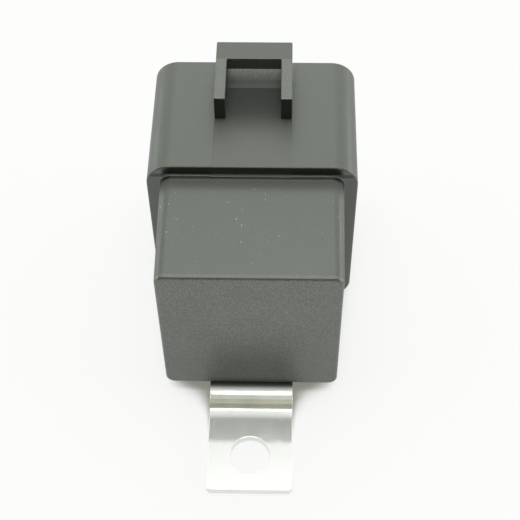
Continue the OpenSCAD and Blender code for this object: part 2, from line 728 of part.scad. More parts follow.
// Rivet along +Z through a stack from z = 0 to z = grip, with thin heads
module rivet(grip) {
    translate([0, 0, -rivet_head_t]) cylinder(r = rivet_head_r, h = rivet_head_t, $fn = fine_fn);
    cylinder(r = rivet_r, h = grip, $fn = fine_fn);
}

module armature_rivets() color([0.7, 0.66, 0.5]) at_rest()
    for (z = armature_rivet_z) translate([0, -armature_t - leaf_t, z - hinge_z]) rotate([-90, 0, 0])
        rivet(armature_t + leaf_t);

module yoke_rivets() color([0.7, 0.66, 0.5])
    for (y = yoke_rivet_y) translate([0, y, hinge_z - leaf_t - 2 * rivet_gap]) rivet(yoke_t + leaf_t + 2 * rivet_gap);

// ---------------------------------------------------------------- wires and resistor

// Each end of the winding runs to the post of its coil strip and is wound round it
module coil_leads() color([0.75, 0.4, 0.2]) {
    lead_y = foot_y - flange_t - 2 * wire_r;
    for (side = [-1, 1]) {
        post_in = side * (coil_blade_x - blade_t / 2 - wire_r);
        wire([side * (winding_r + tape_t + wire_r), lead_y, coil_z],
             [post_in, lead_y, mid_z], wire_r);
    }
}

module suppression_resistor() color([0.35, 0.5, 0.62]) {
    rod_x(resistor_r, resistor_len);
    rod_x(lead_r, 2 * coil_blade_x - blade_t);
}

// Round bar along X through the resistor's place
module rod_x(r, len) {
    translate([-len / 2, resistor_y, resistor_z]) rotate([0, 90, 0]) cylinder(r = r, h = len, $fn = fine_fn);
}

housing();
mounting_strap();
base_plate();
potting_seal();
terminal_coil_a();
terminal_coil_b();
terminal_common();
terminal_open();
terminal_closed();
bobbin();
coil_winding();
coil_tape();
core();
yoke();
armature();
contact_spring();
moving_contact();
fixed_contact_open();
fixed_contact_closed();
armature_rivets();
yoke_rivets();
coil_leads();
suppression_resistor();
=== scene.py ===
"""Dressed model of a skirted changeover relay for a vehicle.

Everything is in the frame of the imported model: X across the can, +Y from the closed end to the
plug's mouth and +Z up from the table. Lengths are in metres, and the zones of a finish are in
millimetres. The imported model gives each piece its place. The classes below build the visible
pieces on it, give every piece its finish, and set the table and the light.
"""

import json
import logging
import math
from collections.abc import Iterator, Sequence
from contextlib import contextmanager
from dataclasses import Field, dataclass, fields
from enum import Enum

import bmesh
import bpy
from mathutils import Matrix, Vector

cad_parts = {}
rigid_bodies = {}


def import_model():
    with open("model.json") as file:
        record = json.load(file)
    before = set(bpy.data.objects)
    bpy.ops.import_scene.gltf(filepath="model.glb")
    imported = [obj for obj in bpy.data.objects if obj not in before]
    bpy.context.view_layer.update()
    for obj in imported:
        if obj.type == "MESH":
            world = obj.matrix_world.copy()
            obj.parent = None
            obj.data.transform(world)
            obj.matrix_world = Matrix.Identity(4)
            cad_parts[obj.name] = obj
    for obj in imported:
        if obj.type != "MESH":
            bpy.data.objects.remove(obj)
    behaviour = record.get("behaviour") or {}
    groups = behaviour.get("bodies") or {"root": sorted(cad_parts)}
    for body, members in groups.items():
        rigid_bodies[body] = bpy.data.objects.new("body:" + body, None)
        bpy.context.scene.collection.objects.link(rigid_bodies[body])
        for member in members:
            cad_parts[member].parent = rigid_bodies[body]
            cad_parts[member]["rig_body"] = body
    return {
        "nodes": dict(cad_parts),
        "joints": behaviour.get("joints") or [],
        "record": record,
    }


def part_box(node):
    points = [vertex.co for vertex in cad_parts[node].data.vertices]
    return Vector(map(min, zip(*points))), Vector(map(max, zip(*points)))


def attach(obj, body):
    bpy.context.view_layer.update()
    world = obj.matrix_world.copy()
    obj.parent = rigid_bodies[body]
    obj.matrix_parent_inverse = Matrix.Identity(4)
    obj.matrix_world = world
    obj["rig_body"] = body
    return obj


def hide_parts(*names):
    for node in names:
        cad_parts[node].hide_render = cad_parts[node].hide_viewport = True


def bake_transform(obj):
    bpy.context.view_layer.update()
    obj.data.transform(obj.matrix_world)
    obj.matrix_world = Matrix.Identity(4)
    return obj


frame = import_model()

LOG = logging.getLogger("relay")
MM = 0.001

# The kinds of blade in the mouth.
BLADES = ("coil_a", "coil_b", "common", "open", "closed")

# Points closer than this are one point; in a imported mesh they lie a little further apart.
ONE_POINT = 1e-7
ONE_PACKED_POINT = 2e-7

# Faces that meet under the first angle are one flat, and edges over the second are sharp, in degrees.
ONE_FLAT = 0.3
SHARP = 30.0

# A round corner is never tighter than this, and a cutter reaches this far past what it cuts.
SHARPEST_CORNER = 0.05 * MM
PAST = 1 * MM

# How finely round forms are divided.
LATHE_STEPS = 48
TURN_POINTS = 40
TURN_SIDES = 6
LEAD_SIDES = 10
LEAD_BEND_POINTS = 4
RIVET_SIDES = 32

# Share of the radius and of the height at each station of a rivet's head.
RIVET_HEAD = ((1.0, 0.0), (0.96, 0.35), (0.8, 0.7), (0.45, 1.0), (0.0, 1.0))

# Sockets of the colours in a mix node, and of its colour result.
MIXED_COLOURS = (6, 7)
MIX_RESULT = 2

# Ends of soft ramps over noise, and the scale of the waves in the edge of a zone.
SPECK_RANGE = (0.3, 0.7)
BLOTCH_RANGE = (0.2, 0.8)
DUSTY_RANGE = (0.35, 0.6, 0.2, 2.0)
WAVES = 500.0

Piece = bpy.types.Object
Material = bpy.types.Material
Mesh = bpy.types.Mesh
Shape = bmesh.types.BMesh
Vert = bmesh.types.BMVert
Socket = bpy.types.NodeSocket
Outputs = bpy.types.NodeOutputs
Feed = Socket | float | Sequence[float]
Links = dict[str | int, Feed]
Spot = Sequence[float]
Profile = Sequence[tuple[float, float]]
Colour = tuple[float, float, float]


# ------------------------------------------------------------------ small helpers


class Boolean(Enum):
    """Ways to combine two closed meshes."""

    UNION = "UNION"
    DIFFERENCE = "DIFFERENCE"


def slope(degrees: float) -> float:
    """Growth per length of a face with this draft."""
    return math.tan(math.radians(degrees))


def corners(node: str) -> tuple[Vector, Vector]:
    """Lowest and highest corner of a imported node."""
    low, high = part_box(node)
    return Vector(low), Vector(high)


def centre_of(node: str) -> Vector:
    """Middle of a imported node's box."""
    low, high = corners(node)
    return (low + high) / 2


def mesh_object(name: str, mesh: Mesh) -> Piece:
    """Puts a mesh in the scene as an object at the origin.

    Args:
        name: Name of the piece.
        mesh: Its mesh, with its place in its points.

    Returns:
        The new object.
    """
    piece = bpy.data.objects.new(name, mesh)
    bpy.context.scene.collection.objects.link(piece)
    return piece


@contextmanager
def edited(mesh: Mesh) -> Iterator[Shape]:
    """Opens a mesh for changes and writes them back.

    Args:
        mesh: The mesh.

    Yields:
        The mesh as a bmesh.
    """
    shape = bmesh.new()
    shape.from_mesh(mesh)
    yield shape
    shape.to_mesh(mesh)
    shape.free()


def close_bmesh(shape: Shape, name: str) -> Piece:
    """Turns a finished bmesh into an object.

    Args:
        shape: The bmesh, which is freed.
        name: Name of the piece.

    Returns:
        The new object.
    """
    bmesh.ops.remove_doubles(shape, verts=shape.verts, dist=ONE_POINT)
    bmesh.ops.recalc_face_normals(shape, faces=shape.faces)
    mesh = bpy.data.meshes.new(name)
    shape.to_mesh(mesh)
    shape.free()
    return mesh_object(name, mesh)


def bake_modifiers(piece: Piece) -> None:
    """Turns what a piece's modifiers make into its own mesh.

    Args:
        piece: The object, which keeps no modifier.
    """
    graph = bpy.context.evaluated_depsgraph_get()
    graph.update()
    baked = bpy.data.meshes.new_from_object(piece.evaluated_get(graph), depsgraph=graph)
    piece.modifiers.clear()
    old = piece.data
    piece.data = baked
    bpy.data.meshes.remove(old)


def modified(piece: Piece, kind: str, **settings: object) -> None:
    """Changes a piece's mesh by a modifier.

    Args:
        piece: The object.
        kind: Blender's name of the modifier's type.
        **settings: The modifier's own properties.
    """
    modifier = piece.modifiers.new(kind.lower(), kind)
    for key, value in settings.items():
        setattr(modifier, key, value)
    bake_modifiers(piece)


def combine(target: Piece, tool: Piece, way: Boolean) -> None:
    """Joins a closed mesh to another, or cuts it out.

    Args:
        target: The object that changes.
        tool: The object that is used up.
        way: Whether it is joined or cut out.
    """
    modified(target, "BOOLEAN", operation=way.value, solver="EXACT", object=tool)
    bpy.data.objects.remove(tool, do_unlink=True)


def move(piece: Piece, shift: Spot, turn: float = 0.0) -> None:
    """Turns a piece's mesh about X, in degrees, and shifts it."""
    piece.data.transform(Matrix.Rotation(math.radians(turn), 4, "X"))
    piece.data.transform(Matrix.Translation(shift))


def push(shape: Shape, points: Sequence[Spot], axis: int, end: float) -> None:
    """Makes a solid of a face and of its copy further along an axis.

    Args:
        shape: The bmesh that takes the solid.
        points: Corners of the face.
        axis: Number of the axis.
        end: Where the copy lies along it.
    """
    face = shape.faces.new([shape.verts.new(point) for point in points])
    made = bmesh.ops.extrude_face_region(shape, geom=[face])["geom"]
    for vert in (part for part in made if isinstance(part, Vert)):
        vert.co[axis] = end


def skin(shape: Shape, loops: Sequence[Sequence[Vert]], closed: bool = False) -> None:
    """Lays faces between neighbouring loops of points.

    Args:
        shape: The bmesh that takes the faces.
        loops: The loops, each of as many points as the others or of one.
        closed: Whether the last loop joins the first, instead of a face on each end.
    """
    count = max(len(loop) for loop in loops)
    pairs = list(zip(loops, loops[1:]))
    if closed:
        pairs.append((loops[-1], loops[0]))
    for first, second in pairs:
        for at in range(count):
            after = (at + 1) % count
            around = ((first, at), (first, after), (second, after), (second, at))
            shape.faces.new(list(dict.fromkeys(loop[place % len(loop)] for loop, place in around)))
    if not closed:
        for loop in (loops[0], loops[-1]):
            if len(loop) > 1:
                shape.faces.new(loop)


def rounded(shape: Shape, edges: Sequence[bmesh.types.BMEdge], radius: float) -> None:
    """Rounds these edges of a bmesh."""
    settings = {"segments": 3, "profile": 0.5, "affect": "EDGES", "clamp_overlap": True}
    bmesh.ops.bevel(shape, geom=edges, offset=radius, **settings)


def block(low: Spot, high: Spot, name: str, round_by: float = 0.0) -> Piece:
    """Box with its edges rounded.

    Args:
        low: Lowest corner.
        high: Highest corner.
        name: Name of the object.
        round_by: Radius of the edges.

    Returns:
        The new object.
    """
    shape = bmesh.new()
    bmesh.ops.create_cube(shape, size=1.0)
    middle = (Vector(low) + Vector(high)) / 2
    span = Vector(high) - Vector(low)
    for vert in shape.verts:
        vert.co = Vector(a * b for a, b in zip(vert.co, span)) + middle
    if round_by > 0.0:
        rounded(shape, list(shape.edges), round_by)
    return close_bmesh(shape, name)


def prism(profile: Profile, x0: float, x1: float, name: str) -> Piece:
    """Closed solid with one side view, from x0 to x1.

    Args:
        profile: Points of the side view, along Y and Z.
        x0: Where it starts along X.
        x1: Where it ends along X.
        name: Name of the object.

    Returns:
        The new object.
    """
    shape = bmesh.new()
    push(shape, [(x0, y, z) for y, z in profile], 0, x1)
    return close_bmesh(shape, name)


def smooth(piece: Piece, angle: float = 32.0) -> None:
    """Shades a piece smooth over its curves and flat over its flats.

    Args:
        piece: The object.
        angle: Edges sharper than this stay sharp, in degrees.
    """
    for face in piece.data.polygons:
        face.use_smooth = True
    with edited(piece.data) as shape:
        for edge in shape.edges:
            edge.smooth = len(edge.link_faces) == 2 and edge.calc_face_angle() < math.radians(angle)
    modified(piece, "WEIGHTED_NORMAL", keep_sharp=True, weight=80)


def joined(name: str, pieces: Sequence[Piece]) -> Piece:
    """Puts several objects' meshes in one object.

    Args:
        name: Name of the result.
        pieces: The objects, which are used up.

    Returns:
        The new object.
    """
    mesh = bpy.data.meshes.new(name)
    with edited(mesh) as shape:
        for piece in pieces:
            shape.from_mesh(piece.data)
            bpy.data.objects.remove(piece, do_unlink=True)
    result = mesh_object(name, mesh)
    smooth(result, angle=60.0)
    return result


def softened(node: str, name: str, edge: float, segments: int = 2, limit: float = 40.0) -> Piece:
    """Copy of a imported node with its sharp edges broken.

    Args:
        node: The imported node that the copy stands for.
        name: Name of the new piece.
        edge: Width of the broken edge.
        segments: Faces across it.
        limit: Edges flatter than this stay as they are, in degrees.

    Returns:
        The new object.
    """
    shape = bmesh.new()
    shape.from_mesh(frame["nodes"][node].data)
    bmesh.ops.remove_doubles(shape, verts=shape.verts, dist=ONE_PACKED_POINT)
    flat = math.radians(ONE_FLAT)
    bmesh.ops.dissolve_limit(shape, angle_limit=flat, verts=shape.verts, edges=shape.edges)
    piece = close_bmesh(shape, name)
    settings = {"width": edge, "segments": segments, "angle_limit": math.radians(limit)}
    modified(piece, "BEVEL", limit_method="ANGLE", use_clamp_overlap=True, **settings)
    with edited(piece.data) as shape:
        bmesh.ops.remove_doubles(shape, verts=shape.verts, dist=ONE_POINT)
    smooth(piece)
    return piece


def revolved(profile: Profile, centre: Vector, along: Vector, name: str) -> Piece:
    """Closed solid turned round an axis.

    Args:
        profile: Stations along the axis and radii; a radius of zero at an end closes it.
        centre: Where the stations are counted from.
        along: Direction of the axis.
        name: Name of the object.

    Returns:
        The new object.
    """
    across = along.orthogonal().normalized()
    other = along.cross(across)
    shape = bmesh.new()
    rings = []
    for station, radius in profile:
        middle = centre + along * station
        turns = [2 * math.pi * k / LATHE_STEPS for k in range(LATHE_STEPS if radius > 0.0 else 1)]
        spots = [middle + (across * math.cos(a) + other * math.sin(a)) * radius for a in turns]
        rings.append([shape.verts.new(spot) for spot in spots])
    skin(shape, rings, closed=len(rings[0]) > 1)
    return close_bmesh(shape, name)


# ------------------------------------------------------------------ nodes


class Graph:
    """Node tree, with short ways to add to it."""

    def __init__(self, tree: bpy.types.NodeTree) -> None:
        """Takes the tree that the nodes go into."""
        self.tree = tree

    def socket(self, label: str, kind: str, way: str = "INPUT") -> bpy.types.NodeTreeInterfaceSocket:
        """New socket of a group, of a kind such as Float."""
        return self.tree.interface.new_socket(label, in_out=way, socket_type=f"NodeSocket{kind}")

    def link(self, source: Socket, target: Socket) -> None:
        """Lets one socket feed another."""
        self.tree.links.new(source, target)

    def add(self, kind: str, links: Links | None = None, **settings: object) -> bpy.types.Node:
        """Adds a node, sets it and fills its inputs.

        Args:
            kind: Blender's name of the node's type.
            links: Input name or index, and the value or the socket that feeds it.
            **settings: The node's own properties.

        Returns:
            The new node.
        """
        made = self.tree.nodes.new(kind)
        for key, value in settings.items():
            setattr(made, key, value)
        for key, value in (links or {}).items():
            if isinstance(value, Socket):
                self.link(value, made.inputs[key])
            else:
                made.inputs[key].default_value = value
        return made

    def make(self, kind: str, links: Links | None = None, **settings: object) -> Socket:
        """First output of a new node, as add makes it."""
        return self.add(kind, links, **settings).outputs[0]

    def reckon(self, operation: str, first: Feed, second: Feed = 0.0) -> Socket:
        """Result of a math node."""
        return self.make("ShaderNodeMath", {0: first, 1: second}, operation=operation)

    def product(self, *parts: Feed) -> Socket:
        """Product of two or more values.

        Args:
            *parts: The values or sockets, in order.

        Returns:
            The product.
        """
        result, *others = parts
        for part in others:
            result = self.reckon("MULTIPLY", result, part)
        return result

    def ramp(self, value: Feed, start: Feed, end: Feed, low: Feed = 0.0, high: Feed = 1.0) -> Socket:
        """Soft ramp from low at start to high at end."""
        sockets = {"Value": value, "From Min": start, "From Max": end, "To Min": low, "To Max": high}
        return self.make("ShaderNodeMapRange", sockets, interpolation_type="SMOOTHSTEP")

    def tinted(self, share: Socket, first: Feed, second: Feed) -> Socket:
        """Mix of two colours, by the share of the second."""
        both = (part if isinstance(part, Socket) else (*part, 1.0) for part in (first, second))
        sockets = {"Factor": share, **dict(zip(MIXED_COLOURS, both))}
        return self.add("ShaderNodeMix", sockets, data_type="RGBA").outputs[MIX_RESULT]

    def place(self) -> Socket:
        """Place on the piece."""
        return self.add("ShaderNodeTexCoord").outputs["Object"]

    def noise(self, place: Feed, scale: Feed, detail: float) -> Socket:
        """Smooth noise, from 0 to 1."""
        sockets = {"Vector": place, "Scale": scale, "Detail": detail}
        return self.add("ShaderNodeTexNoise", sockets).outputs["Fac"]

    def shared(self, effect: "Effect", values: dict[str, float]) -> Outputs:
        """Puts a shared effect in with its own values.

        Args:
            effect: The effect.
            values: Value of each input that differs from the effect's default.

        Returns:
            The effect's outputs.
        """
        made = self.add("ShaderNodeGroup", node_tree=effect.tree)
        for key, value in values.items():
            made.inputs[key].default_value = value
        return made.outputs


class Effect(Graph):
    """Shader node group with named number sockets."""

    def __init__(self, name: str, sizes: dict[str, float], results: Sequence[str]) -> None:
        """Starts the group.

        Args:
            name: Name of the group.
            sizes: Name and default of each input.
            results: Name of each output.
        """
        super().__init__(bpy.data.node_groups.new(name, "ShaderNodeTree"))
        for label, value in sizes.items():
            self.socket(label, "Float").default_value = value
        for label in results:
            self.socket(label, "Float", "OUTPUT")
        self.given = self.tree.nodes.new("NodeGroupInput").outputs
        self.made = self.tree.nodes.new("NodeGroupOutput").inputs


class Former(Graph):
    """Geometry Nodes tree that forms a piece from named sizes."""

    def __init__(self, name: str, sizes: dict[str, float]) -> None:
        """Starts the tree.

        Args:
            name: Name of the tree.
            sizes: Name and default of each size.
        """
        super().__init__(bpy.data.node_groups.new(name, "GeometryNodeTree"))
        self.socket("Geometry", "Geometry")
        for label, value in sizes.items():
            self.socket(label, "Int" if isinstance(value, int) else "Float").default_value = value
        self.socket("Finish", "Material")
        self.socket("Geometry", "Geometry", "OUTPUT")
        self.given = self.tree.nodes.new("NodeGroupInput").outputs

    def tube(self, path: Feed, radius: Feed, sides: int) -> Socket:
        """Round bar along a curve, with this many faces round it."""
        sizes = {"Resolution": sides, "Radius": radius}
        ring = self.make("GeometryNodeCurvePrimitiveCircle", sizes, mode="RADIUS")
        bar = {"Curve": path, "Profile Curve": ring, "Fill Caps": True}
        return self.make("GeometryNodeCurveToMesh", bar)

    def end(self, result: Socket) -> None:
        """Ends the tree in plain geometry with its finish.

        Args:
            result: The geometry that the tree has made.
        """
        real = self.make("GeometryNodeRealizeInstances", {"Geometry": result})
        finish = {"Geometry": real, "Material": self.given["Finish"]}
        done = self.make("GeometryNodeSetMaterial", finish)
        self.link(done, self.tree.nodes.new("NodeGroupOutput").inputs["Geometry"])

    def form(self, name: str, values: dict[str, object], start: Mesh | None = None) -> Piece:
        """Forms a piece.

        Args:
            name: Name of the piece.
            values: Its sizes, and its finish.
            start: Mesh that goes into the tree.

        Returns:
            The new object, with its result as a plain mesh.
        """
        piece = mesh_object(name, start or bpy.data.meshes.new(name))
        modifier = piece.modifiers.new("form", "NODES")
        modifier.node_group = self.tree
        for socket in self.tree.interface.items_tree:
            if socket.in_out == "INPUT" and socket.name in values:
                modifier[socket.identifier] = values[socket.name]
        bake_modifiers(piece)
        return piece


# ------------------------------------------------------------------ forms that repeat or follow a path


def coil_former() -> Former:
    """Former of one layer of turns of wire, up the Z axis.

    Returns:
        The former.
    """
    sizes = {"Turns": 40.0, "Radius": 6.0 * MM, "Length": 9.0 * MM, "Wire Radius": 0.1 * MM}
    former = Former("coil_turns", sizes)
    given = former.given
    spiral = {"Resolution": TURN_POINTS, "Rotations": given["Turns"], "Start Radius": given["Radius"]}
    spiral |= {"End Radius": given["Radius"], "Height": given["Length"]}
    path = former.make("GeometryNodeCurveSpiral", spiral)
    former.end(former.tube(path, given["Wire Radius"], TURN_SIDES))
    return former


def wire_former() -> Former:
    """Former of a round wire along the edges of a start mesh.

    Returns:
        The former.
    """
    former = Former("round_wire", {"Wire Radius": 0.1 * MM, "Fillet": 0.1 * MM})
    path = former.make("GeometryNodeMeshToCurve", {"Mesh": former.given["Geometry"]})
    bends = {"Curve": path, "Radius": former.given["Fillet"], "Limit Radius": True}
    bends["Count"] = LEAD_BEND_POINTS
    path = former.make("GeometryNodeFilletCurve", bends, mode="POLY")
    former.end(former.tube(path, former.given["Wire Radius"], LEAD_SIDES))
    return former


def rivet_former() -> Former:
    """Former of a row of rivets along Y, with their heads below Z = 0 and their shanks above it.

    Returns:
        The former.
    """
    sizes = {"Count": 2, "Pitch": 3.0 * MM, "Shank Radius": 0.8 * MM, "Head Over": 0.5 * MM}
    former = Former("rivet_row", sizes | {"Head Height": 0.4 * MM, "Grip": 2.0 * MM})
    given = former.given
    shank, grip = given["Shank Radius"], given["Grip"]
    head = former.reckon("ADD", shank, given["Head Over"])
    stations: list[tuple[Feed, Feed]] = [(0.0, grip), (shank, grip), (shank, 0.0)]
    for share, down in RIVET_HEAD:
        stations.append((former.product(head, share), former.product(given["Head Height"], -down)))
    join = former.add("GeometryNodeJoinGeometry")
    for (top, above), (bottom, below) in zip(stations, stations[1:]):
        cone = {"Vertices": RIVET_SIDES, "Radius Top": top, "Radius Bottom": bottom}
        cone["Depth"] = former.reckon("SUBTRACT", above, below)
        band = former.make("GeometryNodeMeshCone", cone, fill_type="NONE")
        place = former.make("ShaderNodeCombineXYZ", {"Z": below})
        moved = former.make("GeometryNodeTransform", {"Geometry": band, "Translation": place})
        former.link(moved, join.inputs[0])
    merged = {"Geometry": join.outputs[0], "Distance": ONE_POINT}
    rivet = former.make("GeometryNodeMergeByDistance", merged)
    step = former.make("ShaderNodeCombineXYZ", {"Y": given["Pitch"]})
    line = {"Count": given["Count"], "Offset": step}
    row = former.make("GeometryNodeMeshLine", line, mode="OFFSET")
    former.end(former.make("GeometryNodeInstanceOnPoints", {"Points": row, "Instance": rivet}))
    return former


@dataclass(frozen=True)
class Rivets:
    """Row of two rivets."""

    pitch: float
    radius: float = 0.8 * MM
    over: float = 0.5 * MM
    head: float = 0.4 * MM

    def row(self, node: str, grip: float, finish: Material, turn: float = 0.0) -> Piece:
        """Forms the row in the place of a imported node.

        Args:
            node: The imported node.
            grip: Length of the shanks.
            finish: Finish of the rivets.
            turn: Turn about X from heads down, in degrees.

        Returns:
            The new object.
        """
        values = {"Count": 2, "Pitch": self.pitch, "Shank Radius": self.radius, "Grip": grip}
        values |= {"Head Over": self.over, "Head Height": self.head, "Finish": finish}
        row = rivet_former().form(f"{node.removesuffix('s')}_row", values)
        move(row, (0.0, 0.0, 0.0), turn)
        low, high = corners(node)
        spots = [vert.co for vert in row.data.vertices]
        move(row, (0.0, low.y - min(co.y for co in spots), high.z - max(co.z for co in spots)))
        smooth(row, angle=30.0)
        return row


# ------------------------------------------------------------------ effects that finishes share


def grain_effect() -> Effect:
    """Fine grain of a spark-eroded mould, with specks and a broad unevenness under it.

    Returns:
        An effect with a Height, a Speckle and a Mottle output.
    """
    sizes = {"Scale": 6000.0, "Speckles": 4200.0, "Broad": 160.0}
    effect = Effect("mould_grain", sizes, ("Height", "Speckle", "Mottle"))
    place = effect.place()
    effect.link(effect.noise(place, effect.given["Scale"], 2.0), effect.made["Height"])
    specks = effect.noise(place, effect.given["Speckles"], 1.0)
    effect.link(effect.ramp(specks, *SPECK_RANGE), effect.made["Speckle"])
    effect.link(effect.noise(place, effect.given["Broad"], 3.0), effect.made["Mottle"])
    return effect


def dust_effect() -> Effect:
    """Loose specks of pale dust, more on some places than on others.

    Returns:
        An effect with a Mask output.
    """
    sizes = {"Scale": 2300.0, "Size": 0.24, "Amount": 0.06, "Patches": 120.0}
    effect = Effect("dust_specks", sizes, ("Mask",))
    given, place = effect.given, effect.place()
    sockets = {"Vector": place, "Scale": given["Scale"]}
    cells = effect.add("ShaderNodeTexVoronoi", sockets, feature="F1").outputs
    lot = effect.add("ShaderNodeSeparateColor", {"Color": cells["Color"]}).outputs
    patches = effect.ramp(effect.noise(place, given["Patches"], 1.0), *DUSTY_RANGE)
    chance = effect.product(given["Amount"], patches)
    size = effect.product(given["Size"], effect.ramp(lot["Green"], 0.0, 1.0, 0.5, 1.0))
    inside = effect.reckon("GREATER_THAN", size, cells["Distance"])
    chosen = effect.reckon("GREATER_THAN", chance, lot["Red"])
    bright = effect.ramp(lot["Blue"], 0.0, 1.0, 0.25, 1.0)
    effect.link(effect.product(inside, chosen, bright), effect.made["Mask"])
    return effect


def rolled_effect() -> Effect:
    """Long faint lines of rolled or drawn metal, with blotches of uneven plating.

    Returns:
        An effect with a Height and a Blotch output.
    """
    sizes = {"Across": 9000.0, "Along": 250.0, "Blotches": 350.0}
    effect = Effect("rolled_lines", sizes, ("Height", "Blotch"))
    given, place = effect.given, effect.place()
    parts = {"X": given["Across"], "Y": given["Along"], "Z": given["Across"]}
    scale = effect.make("ShaderNodeCombineXYZ", parts)
    drawn = effect.make("ShaderNodeVectorMath", {0: place, 1: scale}, operation="MULTIPLY")
    effect.link(effect.noise(drawn, 1.0, 3.0), effect.made["Height"])
    effect.link(effect.noise(place, given["Blotches"], 4.0), effect.made["Blotch"])
    return effect


def socket_label(size: Field) -> str:
    """Label of the socket that stands for a dataclass field."""
    return size.name.replace("_", " ").title()


def zone_effect() -> Effect:
    """Part of a piece, by its place: it grows along Y up to a station, between two heights.

    Returns:
        An effect with a Mask output.
    """
    sizes = {socket_label(size): 0.0 for size in fields(Zone)}
    effect = Effect("zone", sizes, ("Mask",))
    given, place = effect.given, effect.place()
    waves = effect.reckon("SUBTRACT", effect.noise(place, WAVES, 2.0), 0.5)
    x, y, z = effect.add("ShaderNodeSeparateXYZ", {"Vector": place}).outputs
    wavy = effect.reckon("ADD", y, effect.product(waves, given["Waver"]))
    along = effect.ramp(wavy, given["Start"], given["Full"])
    side = effect.reckon("SUBTRACT", effect.reckon("ABSOLUTE", x), given["Half Width"])
    across = effect.ramp(side, 0.0, given["Soft"], 1.0, 0.0)
    bottom = effect.reckon("SUBTRACT", given["Low"], given["Rise"])
    risen = effect.ramp(z, bottom, effect.reckon("ADD", given["Low"], given["Rise"]))
    below = effect.reckon("LESS_THAN", z, given["High"])
    before = effect.reckon("LESS_THAN", y, given["End"])
    effect.link(effect.product(along, across, risen, below, before), effect.made["Mask"])
    return effect


class Effects:
    """The shared effects, each built once."""

    def __init__(self) -> None:
        """Builds the effects."""
        self.grain = grain_effect()
        self.dust = dust_effect()
        self.rolled = rolled_effect()
        self.zone = zone_effect()


class Surface(Graph):
    """Material with a Principled shader, and the effects that it can take."""

    def __init__(self, name: str, effects: Effects | None = None) -> None:
        """Starts the material.

        Args:
            name: Name of the material.
            effects: The shared effects.
        """
        self.material = bpy.data.materials.new(name)
        self.material.use_nodes = True
        super().__init__(self.material.node_tree)
        self.shader = self.tree.nodes["Principled BSDF"].inputs
        self.effects = effects


@dataclass(frozen=True)
class Zone:
    """Part of a piece whose finish differs, by its place on the piece, in millimetres."""

    start: float
    full: float
    end: float = 1000.0
    half_width: float = 1000.0
    soft: float = 0.5
    low: float = -1000.0
    rise: float = 0.001
    high: float = 1000.0
    waver: float = 0.0

    def mask(self, surface: Surface) -> Socket:
        """Mask of the zone in a material."""
        values = {socket_label(size): getattr(self, size.name) * MM for size in fields(self)}
        return surface.shared(surface.effects.zone, values)["Mask"]


@dataclass(frozen=True)
class Patch:
    """Zone of a piece with its own colour and roughness."""

    zone: Zone
    colour: Colour
    roughness: float | None = None


@dataclass(frozen=True)
class Finish:
    """Colour and roughness of a piece, and the patches of it that differ."""

    name: str
    colour: Colour
    roughness: float = 0.35
    roughness_spread: float = 0.04
    patches: tuple[Patch, ...] = ()

    def patched(self, surface: Surface, uneven: Socket) -> tuple[Feed, Socket]:
        """Colour and roughness with the patches in them.

        Args:
            surface: The material.
            uneven: What the roughness varies with.

        Returns:
            The colour and the roughness.
        """
        least, most = self.roughness - self.roughness_spread, self.roughness + self.roughness_spread
        colour, rough = self.colour, surface.ramp(uneven, *BLOTCH_RANGE, least, most)
        for patch in self.patches:
            mask = patch.zone.mask(surface)
            colour = surface.tinted(mask, colour, patch.colour)
            if patch.roughness is not None:
                rough = surface.ramp(mask, 0.0, 1.0, rough, patch.roughness)
        return colour, rough

    def mottled(self, surface: Surface, mask: Socket, colour: Feed, share: float) -> Socket:
        """Colour that falls to a share of itself where the mask is low."""
        dark = surface.make("ShaderNodeVectorMath", {0: colour, "Scale": share}, operation="SCALE")
        return surface.tinted(mask, dark, colour)

    def lay(self, surface: Surface, bump: Links, colour: Socket, rough: Socket) -> Material:
        """Lays the finish on a material's shader.

        Args:
            surface: The material.
            bump: Height, distance and strength of the bump.
            colour: The colour.
            rough: The roughness.

        Returns:
            The finished material.
        """
        surface.link(rough, surface.shader["Roughness"])
        surface.link(colour, surface.shader["Base Color"])
        normal = surface.add("ShaderNodeBump", bump).outputs["Normal"]
        surface.link(normal, surface.shader["Normal"])
        return surface.material


@dataclass(frozen=True)
class MouldedPlastic(Finish):
    """Finish of a moulded plastic piece."""

    ior: float = 1.5
    tint: Colour = (1.0, 1.0, 1.0)
    contrast: float = 0.2
    grain_scale: float = 6000.0
    grain_depth: float = 0.02 * MM
    grain_strength: float = 0.25
    dust: float = 0.0
    dust_colour: Colour = (0.36, 0.37, 0.35)
    dust_place: Zone = Zone(-2000.0, -1900.0)

    def build(self, effects: Effects) -> Material:
        """Builds the material.

        Args:
            effects: The shared effects.

        Returns:
            The material.
        """
        surface = Surface(self.name, effects)
        surface.shader["IOR"].default_value = self.ior
        surface.shader["Specular Tint"].default_value = (*self.tint, 1.0)
        grain = surface.shared(effects.grain, {"Scale": self.grain_scale})
        plain, rough = self.patched(surface, grain["Mottle"])
        colour = self.mottled(surface, grain["Speckle"], plain, 1.0 - self.contrast)
        if self.dust > 0.0:
            specks = surface.shared(effects.dust, {"Amount": self.dust})["Mask"]
            specks = surface.product(specks, self.dust_place.mask(surface))
            colour = surface.tinted(specks, colour, self.dust_colour)
        bump = {"Height": grain["Height"], "Distance": self.grain_depth}
        return self.lay(surface, bump | {"Strength": self.grain_strength}, colour, rough)


